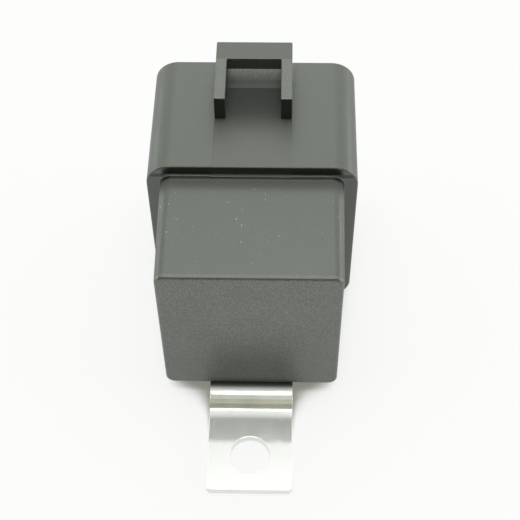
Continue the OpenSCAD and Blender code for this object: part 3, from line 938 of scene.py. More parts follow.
@dataclass(frozen=True)
class RolledMetal(Finish):
    """Finish of a metal piece cut from rolled strip or drawn bar."""

    roughness: float = 0.25
    roughness_spread: float = 0.05
    shade: float = 0.93
    line_depth: float = 0.004 * MM
    line_strength: float = 0.3
    # Zones where the metal gives way to its colour as a flat diffuse tone, with the share of metal
    # left there: painted reflection bands.
    blooms: tuple[tuple[Zone, float], ...] = ()

    def build(self, effects: Effects) -> Material:
        """Builds the material.

        Args:
            effects: The shared effects.

        Returns:
            The material.
        """
        surface = Surface(self.name, effects)
        metallic = surface.shader["Metallic"]
        metallic.default_value = 1.0
        rolled = surface.shared(effects.rolled, {})
        plain, rough = self.patched(surface, rolled["Blotch"])
        # Painted reflection: in these bands the metal turns to a flat tone.
        bare: Feed = 1.0
        for zone, left in self.blooms:
            bare = surface.ramp(zone.mask(surface), 0.0, 1.0, bare, left)
            surface.link(bare, metallic)
        colour = self.mottled(surface, rolled["Blotch"], plain, self.shade)
        bump = {"Height": rolled["Height"], "Distance": self.line_depth}
        return self.lay(surface, bump | {"Strength": self.line_strength}, colour, rough)


# ------------------------------------------------------------------ rings of the housing


@dataclass(frozen=True)
class Ring:
    """Section at one station along Y: a rectangle with round corners."""

    station: float
    width: float
    height: float
    corner: float
    middle: float
    aside: float = 0.0

    def grown(self, by: float) -> "Ring":
        """The same ring with its outline moved out."""
        size = (self.width + 2 * by, self.height + 2 * by, self.corner + by)
        return Ring(self.station, *size, self.middle, self.aside)

    def points(self, steps: int) -> list[Vector]:
        """Points round the ring.

        Args:
            steps: Faces round each corner.

        Returns:
            The points, in order round the Y axis.
        """
        corner = max(self.corner, SHARPEST_CORNER)
        result = []
        for turn, (across, up) in enumerate(((1, 1), (-1, 1), (-1, -1), (1, -1))):
            x = self.aside + across * (self.width / 2 - corner)
            z = self.middle + up * (self.height / 2 - corner)
            for step in range(steps + 1):
                angle = math.radians(90 * turn + 90 * step / steps)
                spot = (x + corner * math.cos(angle), self.station, z + corner * math.sin(angle))
                result.append(Vector(spot))
        return result


def loft(rings: Sequence[Ring], name: str, steps: int = 12) -> Piece:
    """Closed skin through a row of rings, with a flat face at each end.

    Args:
        rings: The rings, in order.
        name: Name of the object.
        steps: Faces round each corner.

    Returns:
        The new object.
    """
    shape = bmesh.new()
    skin(shape, [[shape.verts.new(point) for point in ring.points(steps)] for ring in rings])
    return close_bmesh(shape, name)


@dataclass
class Housing:
    """Black moulding: can, skirt, latch bridge and strap pocket, as one piece."""

    can_width: float = 28.1 * MM
    can_height: float = 28.6 * MM
    can_draft: float = 1.33
    can_corner: float = 1.5 * MM
    can_edge: float = 0.5 * MM
    can_wall: float = 1.3 * MM
    can_lift: float = 0.235 * MM
    skirt_draft: float = 0.31
    skirt_corner: float = 4.0 * MM
    skirt_wall: float = 1.8 * MM
    step_wall: float = 1.6 * MM
    foot_round: float = 0.3 * MM
    step_round: float = 0.25 * MM
    mouth_round: float = 0.25 * MM
    mouth_lead: float = 0.4 * MM
    round_steps: int = 5
    latch_width: float = 12.45 * MM
    latch_leg: float = 1.8 * MM
    latch_length: float = 13.3 * MM
    latch_height: float = 4.4 * MM
    bar_depth: float = 4.1 * MM
    bar_thickness: float = 2.2 * MM
    bar_lead: float = 1.0 * MM
    edge_round: float = 0.18 * MM
    pad_width: float = 13.3 * MM
    pad_length: float = 0.6 * MM
    pad_height: float = 0.15 * MM
    pad_round: float = 0.04 * MM
    seam_width: float = 0.22 * MM
    seam_height: float = 0.06 * MM
    seam_root: float = 0.3 * MM
    seam_overlap: float = 0.2 * MM
    pocket_length: float = 9.5 * MM
    pocket_wall: float = 1.05 * MM
    strap_thickness: float = 1.2 * MM
    strap_gap: float = 0.1 * MM
    tunnel_share: float = 0.75
    window_width: float = 5.0 * MM
    window_length: float = 3.0 * MM
    wedge_rise: float = 0.6 * MM
    slit: float = 0.7 * MM

    def __post_init__(self) -> None:
        """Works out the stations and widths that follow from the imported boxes."""
        low, high = corners("housing")
        strap_low, strap_high = corners("mounting_strap")
        self.end, self.mouth, self.top = low.y, high.y, high.z
        self.step = strap_high.y - self.step_wall / 2
        self.seat = self.step + self.step_wall
        self.seal_face = corners("potting_seal")[1].y
        self.skirt_grow = (self.mouth - self.step) * slope(self.skirt_draft)
        self.can_grow = (self.step - self.end) * slope(self.can_draft)
        self.skirt_width = high.x - low.x - 2 * self.skirt_grow
        self.skirt_top = self.top - self.latch_height
        self.skirt_height = self.skirt_top - 2 * self.skirt_grow
        self.middle = self.skirt_height / 2 + self.skirt_grow
        self.can_middle = self.middle + self.can_lift
        self.strap_half = (strap_high.x - strap_low.x) / 2
        self.strap_top = strap_high.z
        self.strap_under = strap_high.z - self.strap_thickness

    def can_ring(self, station: float, inset: float) -> Ring:
        """Ring at a station of the can's outside, or this far inside it."""
        ring = Ring(station, self.can_width, self.can_height, self.can_corner, self.can_middle)
        return ring.grown((station - self.end) * slope(self.can_draft) - inset)

    def skirt_ring(self, station: float, inset: float) -> Ring:
        """Ring at a station of the skirt's outside, or this far inside it."""
        ring = Ring(station, self.skirt_width, self.skirt_height, self.skirt_corner, self.middle)
        return ring.grown((station - self.step) * slope(self.skirt_draft) - inset)

    def rings(self) -> list[Ring]:
        """All rings, from the closed end out over the skirt and back inside to the can's floor.

        Returns:
            The rings, in order.
        """
        turns = [math.radians(90 * k / self.round_steps) for k in range(self.round_steps + 1)]
        rounds = (
            (self.can_ring, self.end, self.can_edge, self.can_edge),
            (self.can_ring, self.step, -self.foot_round, -self.foot_round),
            (self.skirt_ring, self.step, self.step_round, self.step_round),
            (self.skirt_ring, self.mouth, -self.mouth_round, self.mouth_round),
        )
        rings = []
        for ring, at, back, inset in rounds:
            for a in reversed(turns) if back > 0.0 else turns:
                rings.append(ring(at + back * (1 - math.sin(a)), inset * (1 - math.cos(a))))
        rings.append(self.skirt_ring(self.mouth, self.skirt_wall - self.mouth_lead))
        rings.append(self.skirt_ring(self.mouth - self.mouth_lead, self.skirt_wall))
        rings.append(self.skirt_ring(self.seat, self.skirt_wall))
        rings.append(self.can_ring(self.seat, self.can_wall))
        rings.append(self.can_ring(self.end + self.can_wall, self.can_wall))
        return rings

    def bridge(self) -> Piece:
        """Latch bridge: two legs and the bar between their outer ends.

        Returns:
            The new object.
        """
        half = self.latch_width / 2
        inner = half - self.latch_leg
        near = self.mouth - self.latch_length
        bar = self.mouth - self.bar_depth
        under = self.top - self.bar_thickness
        root = self.skirt_top - self.skirt_wall / 2
        plan = [
            (-half, near), (-inner, near), (-inner, bar), (inner, bar),
            (inner, near), (half, near), (half, self.mouth), (-half, self.mouth),
        ]
        shape = bmesh.new()
        push(shape, [(x, y, self.top) for x, y in plan], 2, root)
        bmesh.ops.recalc_face_normals(shape, faces=shape.faces)
        upper = [e for e in shape.edges if max(v.co.z for v in e.verts) > self.top - ONE_POINT]
        sharp = [edge for edge in upper if edge.calc_face_angle(0) > math.radians(SHARP)]
        rounded(shape, sharp, self.edge_round)
        bridge = close_bmesh(shape, "bridge")
        near, far, low = bar - PAST, self.mouth + PAST, root - PAST
        lead = (self.mouth - self.bar_lead, under)
        slot = [(near, low), (far, low), (far, under + self.bar_lead + PAST), lead, (near, under)]
        combine(bridge, prism(slot, -inner, inner, "slot"), Boolean.DIFFERENCE)
        return bridge

    def witness_lines(self) -> list[Piece]:
        """Fine raised lines where the mould's slide met its cavity, in line with the legs.

        Returns:
            The new objects.
        """
        near = self.step + self.step_round
        far = self.mouth - self.latch_length + self.seam_overlap
        root = self.skirt_top - 2 * self.skirt_grow - self.seam_root
        crests = [
            (y, self.skirt_top - (self.mouth - y) * slope(self.skirt_draft) + self.seam_height)
            for y in (far, near)
        ]
        profile = [(near, root), (far, root), *crests]
        half, out = self.seam_width / 2, self.latch_width / 2
        return [prism(profile, x - half, x + half, "witness_line") for x in (-out, out)]

    def pocket(self) -> Piece:
        """Block under the can that grips the strap.

        Returns:
            The new object.
        """
        half = self.strap_half + self.strap_gap + self.pocket_wall
        under = self.strap_under - self.strap_gap - self.pocket_wall
        low = (-half, self.step - self.pocket_length, under)
        high = (half, self.step + self.step_wall / 2, self.strap_top + self.can_wall / 2)
        return block(low, high, "pocket", self.edge_round)

    def cut_strap_room(self, body: Piece) -> None:
        """Cuts the strap's tunnel and the slits of the snap finger, and adds the finger's wedge.

        Args:
            body: The moulding so far.
        """
        half = self.strap_half + self.strap_gap
        low = self.strap_under - self.strap_gap
        depth = self.tunnel_share * self.step_wall
        far = (half, self.step + depth, self.strap_top + self.strap_gap)
        tunnel = block((-half, self.end - PAST, low), far, "tunnel")
        combine(body, tunnel, Boolean.DIFFERENCE)
        finger = self.window_width / 2 - self.slit
        outer = finger + self.slit
        middle = self.step - self.pocket_length / 2
        back = middle + self.window_length / 2
        near = self.step - self.pocket_length + self.pocket_wall
        under = low - self.pocket_wall - PAST
        for x0, x1, y0 in ((finger, outer, near), (-outer, -finger, near), (-outer, outer, back)):
            slit = block((x0, y0, under), (x1, back + self.slit, self.strap_under), "slit")
            combine(body, slit, Boolean.DIFFERENCE)
        y0, y1 = middle - self.window_length / 2 + self.strap_gap, back - self.strap_gap
        root = low - self.pocket_wall / 2
        side = [(y0, root), (y1, root), (y1, self.strap_under + self.wedge_rise), (y0, low)]
        combine(body, prism(side, -finger, finger, "wedge"), Boolean.UNION)

    def key_ribs(self) -> list[Piece]:
        """Ribs inside the mouth that keep a plug the right way round.

        Returns:
            The new objects.
        """
        width = self.skirt_wall * 2 / 3
        height = self.skirt_wall / 2
        near = self.skirt_width / 5
        roof = self.middle + self.skirt_height / 2
        ribs = []
        for x0 in (near, -near - width):
            low = (x0, self.seal_face + height, roof - self.skirt_wall - height)
            high = (x0 + width, self.mouth - width * 5 / 2, roof - self.skirt_wall / 2)
            ribs.append(block(low, high, "key_rib", self.edge_round))
        return ribs

    def pad(self) -> Piece:
        """Low pad that the latch tooling leaves at the foot of the step.

        Returns:
            The new object.
        """
        half = self.pad_width / 2
        can_top = self.can_middle + self.can_height / 2 + self.can_grow
        low = (-half, self.step - self.pad_length, can_top - self.can_wall / 2)
        high = (half, self.step + self.step_wall / 2, can_top + self.pad_height)
        return block(low, high, "pad", self.pad_round)

    def build(self) -> Piece:
        """Builds the whole moulding.

        Returns:
            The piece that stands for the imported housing.
        """
        body = loft(self.rings(), "housing_body")
        pieces = (self.bridge(), self.pad(), self.pocket(), *self.key_ribs(), *self.witness_lines())
        for added in pieces:
            combine(body, added, Boolean.UNION)
        self.cut_strap_room(body)
        smooth(body)
        return body


# ------------------------------------------------------------------ the other sub-assemblies


class Dresser:
    """Gives pieces their finish and their place among the moving bodies."""

    def __init__(self) -> None:
        """Builds every finish once."""
        effects = Effects()
        self.finishes = {name: finish.build(effects) for name, finish in FINISHES.items()}
        self.slots = {row["node"]: row["material_slot"] for row in frame["record"]["subparts"]}
        for node, packed in frame["nodes"].items():
            packed.material_slots[0].material = self.finish(node)

    def finish(self, node: str) -> Material:
        """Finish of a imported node."""
        return self.finishes[self.slots[node]]

    def soften(self, node: str, name: str, edge: float, segments: int = 2) -> None:
        """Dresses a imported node's own form, with its sharp edges broken."""
        self.dress(softened(node, name, edge, segments), node)

    def dress(self, piece: Piece, node: str, hinge: tuple[Vector, Vector] | None = None) -> None:
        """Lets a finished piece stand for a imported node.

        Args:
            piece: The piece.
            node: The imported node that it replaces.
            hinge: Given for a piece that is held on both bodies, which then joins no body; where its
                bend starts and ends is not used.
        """
        piece.data.materials.clear()
        piece.data.materials.append(self.finish(node))
        if hinge:
            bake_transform(piece)
        else:
            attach(piece, frame["nodes"][node]["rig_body"])
        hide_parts(node)
        LOG.info("%s for %s: %d faces", piece.name, node, len(piece.data.polygons))


@dataclass(frozen=True)
class MountingStrap:
    """Plated steel strap with a joggle and a screw hole."""

    edge: float = 0.15 * MM

    def build(self, dresser: Dresser) -> None:
        """Builds and dresses the strap."""
        dresser.soften("mounting_strap", "strap", self.edge, segments=3)


@dataclass(frozen=True)
class PlugSide:
    """Base plate, poured seal and the five blades."""

    blade_edge: float = 0.08 * MM
    blade_tip: float = 4.0 * MM
    plate_edge: float = 0.2 * MM
    seal_corner: float = 2.2 * MM
    sag: float = 0.25 * MM
    climb: float = 0.3 * MM
    reach: float = 0.3 * MM
    wall_insets: tuple[float, ...] = (0.0, 0.08, 0.18, 0.3, 0.5, 0.8, 1.2, 2.0, 5.0)
    blade_outsets: tuple[float, ...] = (0.8, 0.5, 0.3, 0.18, 0.1, 0.05, 0.02)

    def sections(self) -> list[tuple[float, float, float, float]]:
        """Each blade's section, as seen into the mouth.

        Returns:
            Width, height, Z and X of each.
        """
        found = []
        for kind in BLADES:
            spots = [vert.co for vert in frame["nodes"][f"terminal_{kind}"].data.vertices]
            near = max(co.y for co in spots) - self.blade_tip
            xs, zs = [co.x for co in spots if co.y > near], [co.z for co in spots if co.y > near]
            x0, x1, z0, z1 = min(xs), max(xs), min(zs), max(zs)
            found.append((x1 - x0, z1 - z0, (z0 + z1) / 2, (x0 + x1) / 2))
        return found

    def seal(self) -> Piece:
        """Poured seal, which climbs a little up the wall and the blades.

        Returns:
            The new object.
        """
        low, high = corners("potting_seal")
        size = (high.x - low.x, high.z - low.z, self.seal_corner, (high.z + low.z) / 2)
        level = high.y - self.sag
        rings = [Ring(low.y, *size)]
        for inset in (share * MM for share in self.wall_insets):
            station = level + self.sag * math.exp(-inset / self.reach)
            rings.append(Ring(station, *size).grown(-inset))
        seal = loft(rings, "potting_seal_pour", steps=8)
        for across, up, z, x in self.sections():
            outsets = [share * MM for share in self.blade_outsets]
            rings = [Ring(level - self.sag, across, up, 0.0, z, x).grown(outsets[0])]
            for out in outsets:
                station = level + self.climb * math.exp(-out / (self.reach / 2))
                rings.append(Ring(station, across, up, 0.0, z, x).grown(out))
            combine(seal, loft(rings, "fillet", steps=4), Boolean.UNION)
        smooth(seal, angle=50.0)
        return seal

    def build(self, dresser: Dresser) -> None:
        """Builds and dresses the plate, the seal and the blades."""
        dresser.soften("base_plate", "base_plate_moulding", self.plate_edge)
        dresser.dress(self.seal(), "potting_seal")
        for kind in BLADES:
            blade = softened(f"terminal_{kind}", f"blade_{kind}", self.blade_edge, limit=20.0)
            dresser.dress(blade, f"terminal_{kind}")


@dataclass(frozen=True)
class Magnet:
    """Coil, core and yoke, with the winding's ends and the yoke's rivets."""

    iron_edge: float = 0.2 * MM
    bobbin_edge: float = 0.15 * MM
    wire: float = 0.075 * MM
    core_share: float = 0.57
    tape: float = 0.15 * MM
    tape_turns: int = 2
    tape_start: float = 0.55
    tape_steps: int = 60
    ply_share: float = 0.9
    lead_wire: float = 0.15 * MM
    lead_bend: float = 1.2
    post_wide: float = 3.0 * MM
    post_thick: float = 0.8 * MM
    post_turns: int = 4
    rivets: Rivets = Rivets(pitch=3.0 * MM)

    def winding(self, finish: Material) -> Piece:
        """Body of the winding with its outer layer of turns.

        Args:
            finish: Finish of the wire.

        Returns:
            The new object.
        """
        low, high = corners("coil_winding")
        start = Vector((0.0, low.y, centre_of("bobbin").z))
        length, ring = high.y - low.y, high.x - self.wire
        values = {"Turns": length / (2 * self.wire) - 1, "Radius": ring, "Wire Radius": self.wire}
        values |= {"Length": length - 2 * self.wire, "Finish": finish}
        turns = coil_former().form("coil_turns", values)
        move(turns, start + Vector((0.0, self.wire, 0.0)), turn=-90.0)
        inner = high.x * self.core_share
        profile = [(0.0, inner), (0.0, ring), (length, ring), (length, inner)]
        body = revolved(profile, start, Vector((0.0, 1.0, 0.0)), "winding_body")
        return joined("winding", [body, turns])

    def wrap(self) -> Piece:
        """Tape wound round the coil, with its end showing as a step.

        Returns:
            The new object.
        """
        low, high = corners("coil_tape")
        middle = (low.z + high.z) / 2
        lift = self.tape / (self.tape_turns + 1)
        steps = self.tape_steps * self.tape_turns
        shape = bmesh.new()
        columns = []
        for turned in (self.tape_turns * step / steps for step in range(steps + 1)):
            angle = 2 * math.pi * (self.tape_start + turned)
            across, up = math.cos(angle), math.sin(angle)
            inner = high.x - self.tape + lift * turned
            outer = inner + self.ply_share * lift
            ply = ((outer, low.y), (outer, high.y), (inner, high.y), (inner, low.y))
            columns.append([shape.verts.new((r * across, y, middle + r * up)) for r, y in ply])
        skin(shape, columns)
        tape = close_bmesh(shape, "tape_wrap")
        smooth(tape, angle=50.0)
        return tape

    def leads(self, finish: Material) -> Piece:
        """Ends of the winding, each wound round the post of its blade.

        Args:
            finish: Finish of the wire.

        Returns:
            The new object.
        """
        wire = self.lead_wire
        y = corners("coil_leads")[0].y + wire
        middle, level = centre_of("terminal_coil_b").x, centre_of("potting_seal").z
        half_x, half_z = self.post_thick / 2 + wire, self.post_wide / 2 + wire
        points = [
            (corners("coil_tape")[1].x + wire, y, centre_of("coil_tape").z),
            (middle - half_x, y, level),
        ]
        turn = ((-1, 1), (1, 1), (1, -1), (-1, -1))
        for step in range(4 * self.post_turns):
            across, up = turn[step % 4]
            points.append((middle + across * half_x, y + step * wire / 2, level + up * half_z))
        former, made = wire_former(), []
        values = {"Wire Radius": wire, "Fillet": self.lead_bend * wire, "Finish": finish}
        for side in (-1, 1):
            mesh = bpy.data.meshes.new("lead")
            links = [(k, k + 1) for k in range(len(points) - 1)]
            mesh.from_pydata([(side * x, y, z) for x, y, z in points], links, [])
            made.append(former.form("lead", values, mesh))
        return joined("winding_ends", made)

    def build(self, dresser: Dresser) -> None:
        """Builds and dresses the magnet."""
        dresser.soften("bobbin", "bobbin_moulding", self.bobbin_edge)
        dresser.dress(self.winding(dresser.finish("coil_winding")), "coil_winding")
        dresser.dress(self.wrap(), "coil_tape")
        for node in ("core", "yoke"):
            dresser.soften(node, f"{node}_iron", self.iron_edge)
        dresser.dress(self.leads(dresser.finish("coil_leads")), "coil_leads")
        low, high = corners("yoke_rivets")
        grip = high.z - low.z - self.rivets.head
        row = self.rivets.row("yoke_rivets", grip, dresser.finish("yoke_rivets"))
        dresser.dress(row, "yoke_rivets")


@dataclass(frozen=True)
class Contacts:
    """Armature, leaf spring, rivets and the silver contacts."""

    swing: float = 3.5
    iron_edge: float = 0.12 * MM
    leaf_edge: float = 0.04 * MM
    silver_edge: float = 0.1 * MM
    knee: float = 1.3 * MM
    stack: float = 1.65 * MM
    rivets: Rivets = Rivets(pitch=5.0 * MM)

    def build(self, dresser: Dresser) -> None:
        """Builds and dresses the moving side and the fixed contacts."""
        dresser.soften("armature", "armature_iron", self.iron_edge)
        hinge = Vector(frame["joints"][0]["pos_m"])
        leaf = softened("contact_spring", "leaf_spring", self.leaf_edge)
        dresser.dress(leaf, "contact_spring", (hinge, hinge + Vector((0.0, 0.0, self.knee))))
        finish = dresser.finish("armature_rivets")
        row = self.rivets.row("armature_rivets", self.stack, finish, turn=self.swing - 90.0)
        dresser.dress(row, "armature_rivets")
        for node in ("moving_contact", "fixed_contact_open", "fixed_contact_closed"):
            dresser.soften(node, f"{node}_silver", self.silver_edge, segments=3)


@dataclass(frozen=True)
class Resistor:
    """Resistor across the coil, between the ears of the coil blades."""

    cap_share: float = 0.24
    waist: float = 0.86
    cap_profile: Profile = ((0.75, 0.97), (0.5, 1.0), (0.2, 0.97), (0.05, 0.8), (0.0, 0.45))
    lead: float = 0.25 * MM
    lead_root: float = 0.1 * MM
    body_length: float = 6.0 * MM

    def build(self, dresser: Dresser) -> None:
        """Builds and dresses the resistor and its leads."""
        low, high = corners("suppression_resistor")
        middle, radius = (low + high) / 2, (high.z - low.z) / 2
        half, span, cap = self.body_length / 2, high.x - middle.x, self.cap_share * self.body_length
        side = [(0.0, self.waist * radius), (half - cap, self.waist * radius)]
        side += [(half - back * cap, share * radius) for back, share in self.cap_profile]
        side += [(half + self.lead_root, self.lead), (span, self.lead), (span, 0.0)]
        profile = [(-x, r) for x, r in reversed(side)] + side[1:]
        body = revolved(profile, middle, Vector((1.0, 0.0, 0.0)), "resistor")
        smooth(body, angle=50.0)
        dresser.dress(body, "suppression_resistor")


# ------------------------------------------------------------------ table, light and camera


@dataclass(frozen=True)
class Glow:
    """Bright patch of the tent: a cone of directions with a soft rim."""

    name: str
    azimuth: float
    elevation: float
    spread: float
    rim: float
    colour: Colour

    def direction(self) -> Vector:
        """Direction of the middle of the patch."""
        turn, up = math.radians(self.azimuth), math.radians(self.elevation)
        return Vector((math.sin(turn) * math.cos(up), math.cos(turn) * math.cos(up), math.sin(up)))

    def mask(self, graph: Graph, place: Socket) -> Socket:
        """Mask that is 1 inside the patch.

        Args:
            graph: The world's graph.
            place: Direction that is looked in.

        Returns:
            The mask.
        """
        sockets = {0: place, 1: self.direction()}
        settings = {"operation": "DOT_PRODUCT", "label": self.name}
        facing = graph.add("ShaderNodeVectorMath", sockets, **settings)
        inner = math.cos(math.radians(self.spread - self.rim))
        outer = math.cos(math.radians(self.spread + self.rim))
        return graph.ramp(facing.outputs["Value"], outer, inner)


@dataclass(frozen=True)
class Studio:
    """White table in a bright tent, lit from above and behind, and the camera."""

    floor_side: float = 1.6
    white: Colour = (0.957, 0.965, 0.957)
    around: Colour = (0.16, 0.165, 0.15)
    patches: tuple[Glow, ...] = (
        Glow("back_and_sides", 0.0, 8.0, 92.0, 10.0, (1.20, 1.23, 1.19)),
        Glow("front", 180.0, 50.0, 12.0, 6.0, (0.46, 0.465, 0.37)),
        Glow("low_back", 0.0, 14.0, 24.0, 12.0, (1.9, 1.92, 1.88)),
        Glow("dim_left", -36.0, 43.0, 9.0, 8.0, (0.80, 0.82, 0.79)),
        Glow("dim_right", 36.0, 43.0, 9.0, 8.0, (0.90, 0.92, 0.89)),
        Glow("low_left", -90.0, 8.0, 20.0, 10.0, (2.0, 2.02, 1.98)),
        Glow("low_right", 90.0, 8.0, 20.0, 10.0, (2.7, 2.72, 2.68)),
        Glow("strip_left", -55.0, 2.0, 7.0, 6.0, (2.7, 2.72, 2.66)),
        Glow("strip_right", 55.0, 2.0, 7.0, 6.0, (3.2, 3.22, 3.16)),
        Glow("overhead", 0.0, 90.0, 19.0, 4.0, (5.5, 5.55, 5.4)),
    )
    # Painted shadow on the table: darker by occlusion near the relay, full in front of the closed end,
    # weaker along the sides and gone past the strap's end.
    shade_reach: float = 12.0 * MM
    shade_samples: int = 16
    shade_from: float = 0.36
    shade_to: float = 0.61
    shade_colour: Colour = (0.26, 0.26, 0.22)
    shade_steps: tuple[tuple[float, float, float, float], ...] = (
        (-10.5 * MM, -7.0 * MM, 1.0, 0.35),
        (-22.0 * MM, -17.0 * MM, 0.0, 1.0),
    )
    paper: Colour = (0.8, 0.8, 0.78)
    glow_share: float = 0.85
    camera_at: tuple[float, float, float] = (4.882 * MM, -112.844 * MM, 165.575 * MM)
    yaw: float = -1.811
    pitch: float = 52.246
    roll: float = -0.861
    lens: float = 79.55
    sensor: float = 36.0
    nearest: float = 0.01
    farthest: float = 10.0

    def table_finish(self) -> Material:
        """White glow with a painted shadow, darker where the relay all but touches the table.

        Returns:
            The material.
        """
        graph = Surface("white_table")
        nodes = graph.tree.nodes
        nodes.remove(nodes["Principled BSDF"])
        sockets = {"Distance": self.shade_reach}
        near = graph.add("ShaderNodeAmbientOcclusion", sockets, samples=self.shade_samples)
        hidden = graph.ramp(near.outputs["AO"], self.shade_from, self.shade_to)
        shaded = graph.reckon("SUBTRACT", 1.0, hidden)
        along = graph.add("ShaderNodeSeparateXYZ", {"Vector": graph.place()}).outputs["Y"]
        for start, end, low, high in self.shade_steps:
            shaded = graph.product(shaded, graph.ramp(along, start, end, low, high))
        # The glow's colour, with the painted shadow in it.
        lit = graph.tinted(graph.reckon("SUBTRACT", 1.0, shaded), self.shade_colour, self.white)
        path = graph.add("ShaderNodeLightPath").outputs
        seen = graph.reckon("MAXIMUM", path["Is Camera Ray"], path["Is Glossy Ray"])
        seen = graph.reckon("MAXIMUM", seen, path["Is Transmission Ray"])
        paper = graph.make("ShaderNodeBsdfDiffuse", {"Color": (*self.paper, 1.0)})
        glow = graph.make("ShaderNodeEmission", {"Color": lit})
        share = graph.product(seen, self.glow_share)
        mix = graph.make("ShaderNodeMixShader", {0: share, 1: paper, 2: glow})
        graph.link(mix, nodes["Material Output"].inputs["Surface"])
        return graph.material

    def table(self) -> None:
        """Puts the white table top under the relay."""
        shape = bmesh.new()
        bmesh.ops.create_grid(shape, x_segments=1, y_segments=1, size=self.floor_side / 2)
        floor = close_bmesh(shape, "table_top")
        floor.data.materials.append(self.table_finish())

    def tent(self) -> None:
        """Sets a world of one plain dim light with bright patches in it."""
        world = bpy.data.worlds.new("tent")
        bpy.context.scene.world = world
        world.use_nodes = True
        world.node_tree.nodes.clear()
        graph = Graph(world.node_tree)
        place = graph.add("ShaderNodeTexCoord").outputs["Generated"]
        colour: Feed = self.around
        for patch in self.patches:
            colour = graph.tinted(patch.mask(graph, place), colour, patch.colour)
        lit = graph.make("ShaderNodeBackground", {"Color": colour, "Strength": 1.0})
        white = graph.make("ShaderNodeBackground", {"Color": (*self.white, 1.0), "Strength": 1.0})
        seen = graph.add("ShaderNodeLightPath").outputs["Is Camera Ray"]
        mix = graph.make("ShaderNodeMixShader", {0: seen, 1: lit, 2: white})
        graph.add("ShaderNodeOutputWorld", {"Surface": mix})

    def camera(self) -> None:
        """Sets the camera in front of and above the closed end."""
        yaw, pitch, roll = (math.radians(angle) for angle in (self.yaw, self.pitch, self.roll))
        flat = math.cos(pitch)
        ahead = Vector((math.sin(yaw) * flat, math.cos(yaw) * flat, -math.sin(pitch)))
        right = Vector((math.cos(yaw), -math.sin(yaw), 0.0))
        above = right.cross(ahead)
        tilted_right = right * math.cos(roll) + above * math.sin(roll)
        tilted_above = -right * math.sin(roll) + above * math.cos(roll)
        lens = bpy.data.cameras.new("camera")
        lens.lens = self.lens
        lens.sensor_width = self.sensor
        lens.clip_start = self.nearest
        lens.clip_end = self.farthest
        eye = bpy.data.objects.new("camera", lens)
        bpy.context.scene.collection.objects.link(eye)
        turn = Matrix((tilted_right, tilted_above, -ahead)).transposed().to_4x4()
        eye.matrix_world = Matrix.Translation(self.camera_at) @ turn
        bpy.context.scene.camera = eye

    def build(self) -> None:
        """Builds the table, the tent and the camera."""
        self.table()
        self.tent()
        self.camera()
        bpy.context.scene.view_settings.view_transform = "Standard"


# ------------------------------------------------------------------ finishes


def grey(level: float) -> Colour:
    """Colour with three equal parts."""
    return (level, level, level)


ENAMEL = (0.10, 0.24, 0.36)
BROWN = (0.16, 0.05, 0.02)
BLACK = grey(0.01)
BANDS = ((3.04, ENAMEL), (2.4, BROWN), (2.0, ENAMEL), (1.2, BLACK), (0.8, ENAMEL))
EVERYWHERE = (-1000.0, -900.0)

# Pale film on the closed end: partly real dust, partly painted reflection of the bright table in
# front.
END_DUST_AND_REFLECTION = Patch(Zone(-11.5, -12.5), (0.068, 0.074, 0.066))
# Painted reflection: the closed end lighter towards the top, where it mirrors brighter table further
# out.
END_REFLECTION_RISE = Patch(Zone(-11.5, -12.5, low=16, rise=12), (0.105, 0.113, 0.101))
# Painted shade: darker, rougher top edge of the closed end, which dims its highlight.
END_EDGE_SHADE = Patch(Zone(-12.0, -12.1, low=31.2), grey(0.004), 0.52)
# Painted highlight: the latch legs' tops lighter than the rest of the moulding.
LEG_TOPS_HIGHLIGHT = Patch(Zone(17.5, 17.6, end=27.1, low=37.9), (0.055, 0.059, 0.054))
# Painted shade: the legs' near end faces nearly black.
LEG_ENDS_SHADE = Patch(Zone(17.8, 17.9, end=18.02, low=33.7, high=37.9), grey(0.002), 0.25)
# Painted shade: the bar's top darker than the legs' tops.
BAR_TOP_SHADE = Patch(Zone(27.1, 27.2, low=37.9), grey(0.002), 0.48)
# Painted light: the bar's near face lighter than the rest of the moulding.
BAR_FACE_LIGHT = Patch(Zone(27.1, 27.12, end=27.2, low=34.5, high=37.9), (0.090, 0.092, 0.080))
# Painted shade: the step's top edge darker and rougher, which dims its highlight.
STEP_EDGE_SHADE = Patch(Zone(7.3, 7.35, end=7.75, low=33.2), grey(0.006), 0.60)
# Painted shade: the step's face darker all round.
STEP_SIDES_SHADE = Patch(Zone(7.3, 7.35, end=7.5), grey(0.006), 0.36)
# Painted shade: the step's face above the can nearly black.
STEP_FACE_SHADE = Patch(Zone(7.3, 7.35, end=7.5, low=31), grey(0.002), 0.25)
# Painted shade: the fillet at the foot of the step darker.
STEP_FILLET_SHADE = Patch(Zone(7.0, 7.05, end=7.5, low=31.2, high=32.0), grey(0.010), 0.60)
STEP_SHADE = Patch(Zone(2.4, 6.2, end=7.1, low=31), grey(0.004), 0.75)
# Painted shade: the can's top right at the foot of the step darker.
STEP_FOOT_SHADE = Patch(Zone(6.0, 6.8, end=7.1, low=31), grey(0.004), 0.30)
# Painted highlight: the pad's top lighter, as a light line at the foot of the step.
PAD_TOP_HIGHLIGHT = Patch(
    Zone(6.84, 6.88, end=7.42, half_width=6.7, low=31.95, high=32.02), (0.030, 0.032, 0.029), 0.55
)
SLIDE = {"half_width": 6.2, "low": 30}
SLIDE_MARK = Patch(Zone(7.6, 7.8, soft=0.1, high=33.75, **SLIDE), (0.012, 0.013, 0.011), 0.46)
# Painted light: the skirt's top under the bar, near the mouth, lighter.
SLIDE_FAR_LIGHT = Patch(Zone(26.4, 28.0, high=34.2, **SLIDE), (0.160, 0.165, 0.150))
# Darker and rougher towards the bar: partly the slide's coarser finish, partly painted shade of the
# bar.
SLIDE_ROOT_AND_BAR_SHADE = Patch(Zone(8.5, 24, end=25, soft=0.1, high=33.75, **SLIDE), grey(0.001), 0.95)

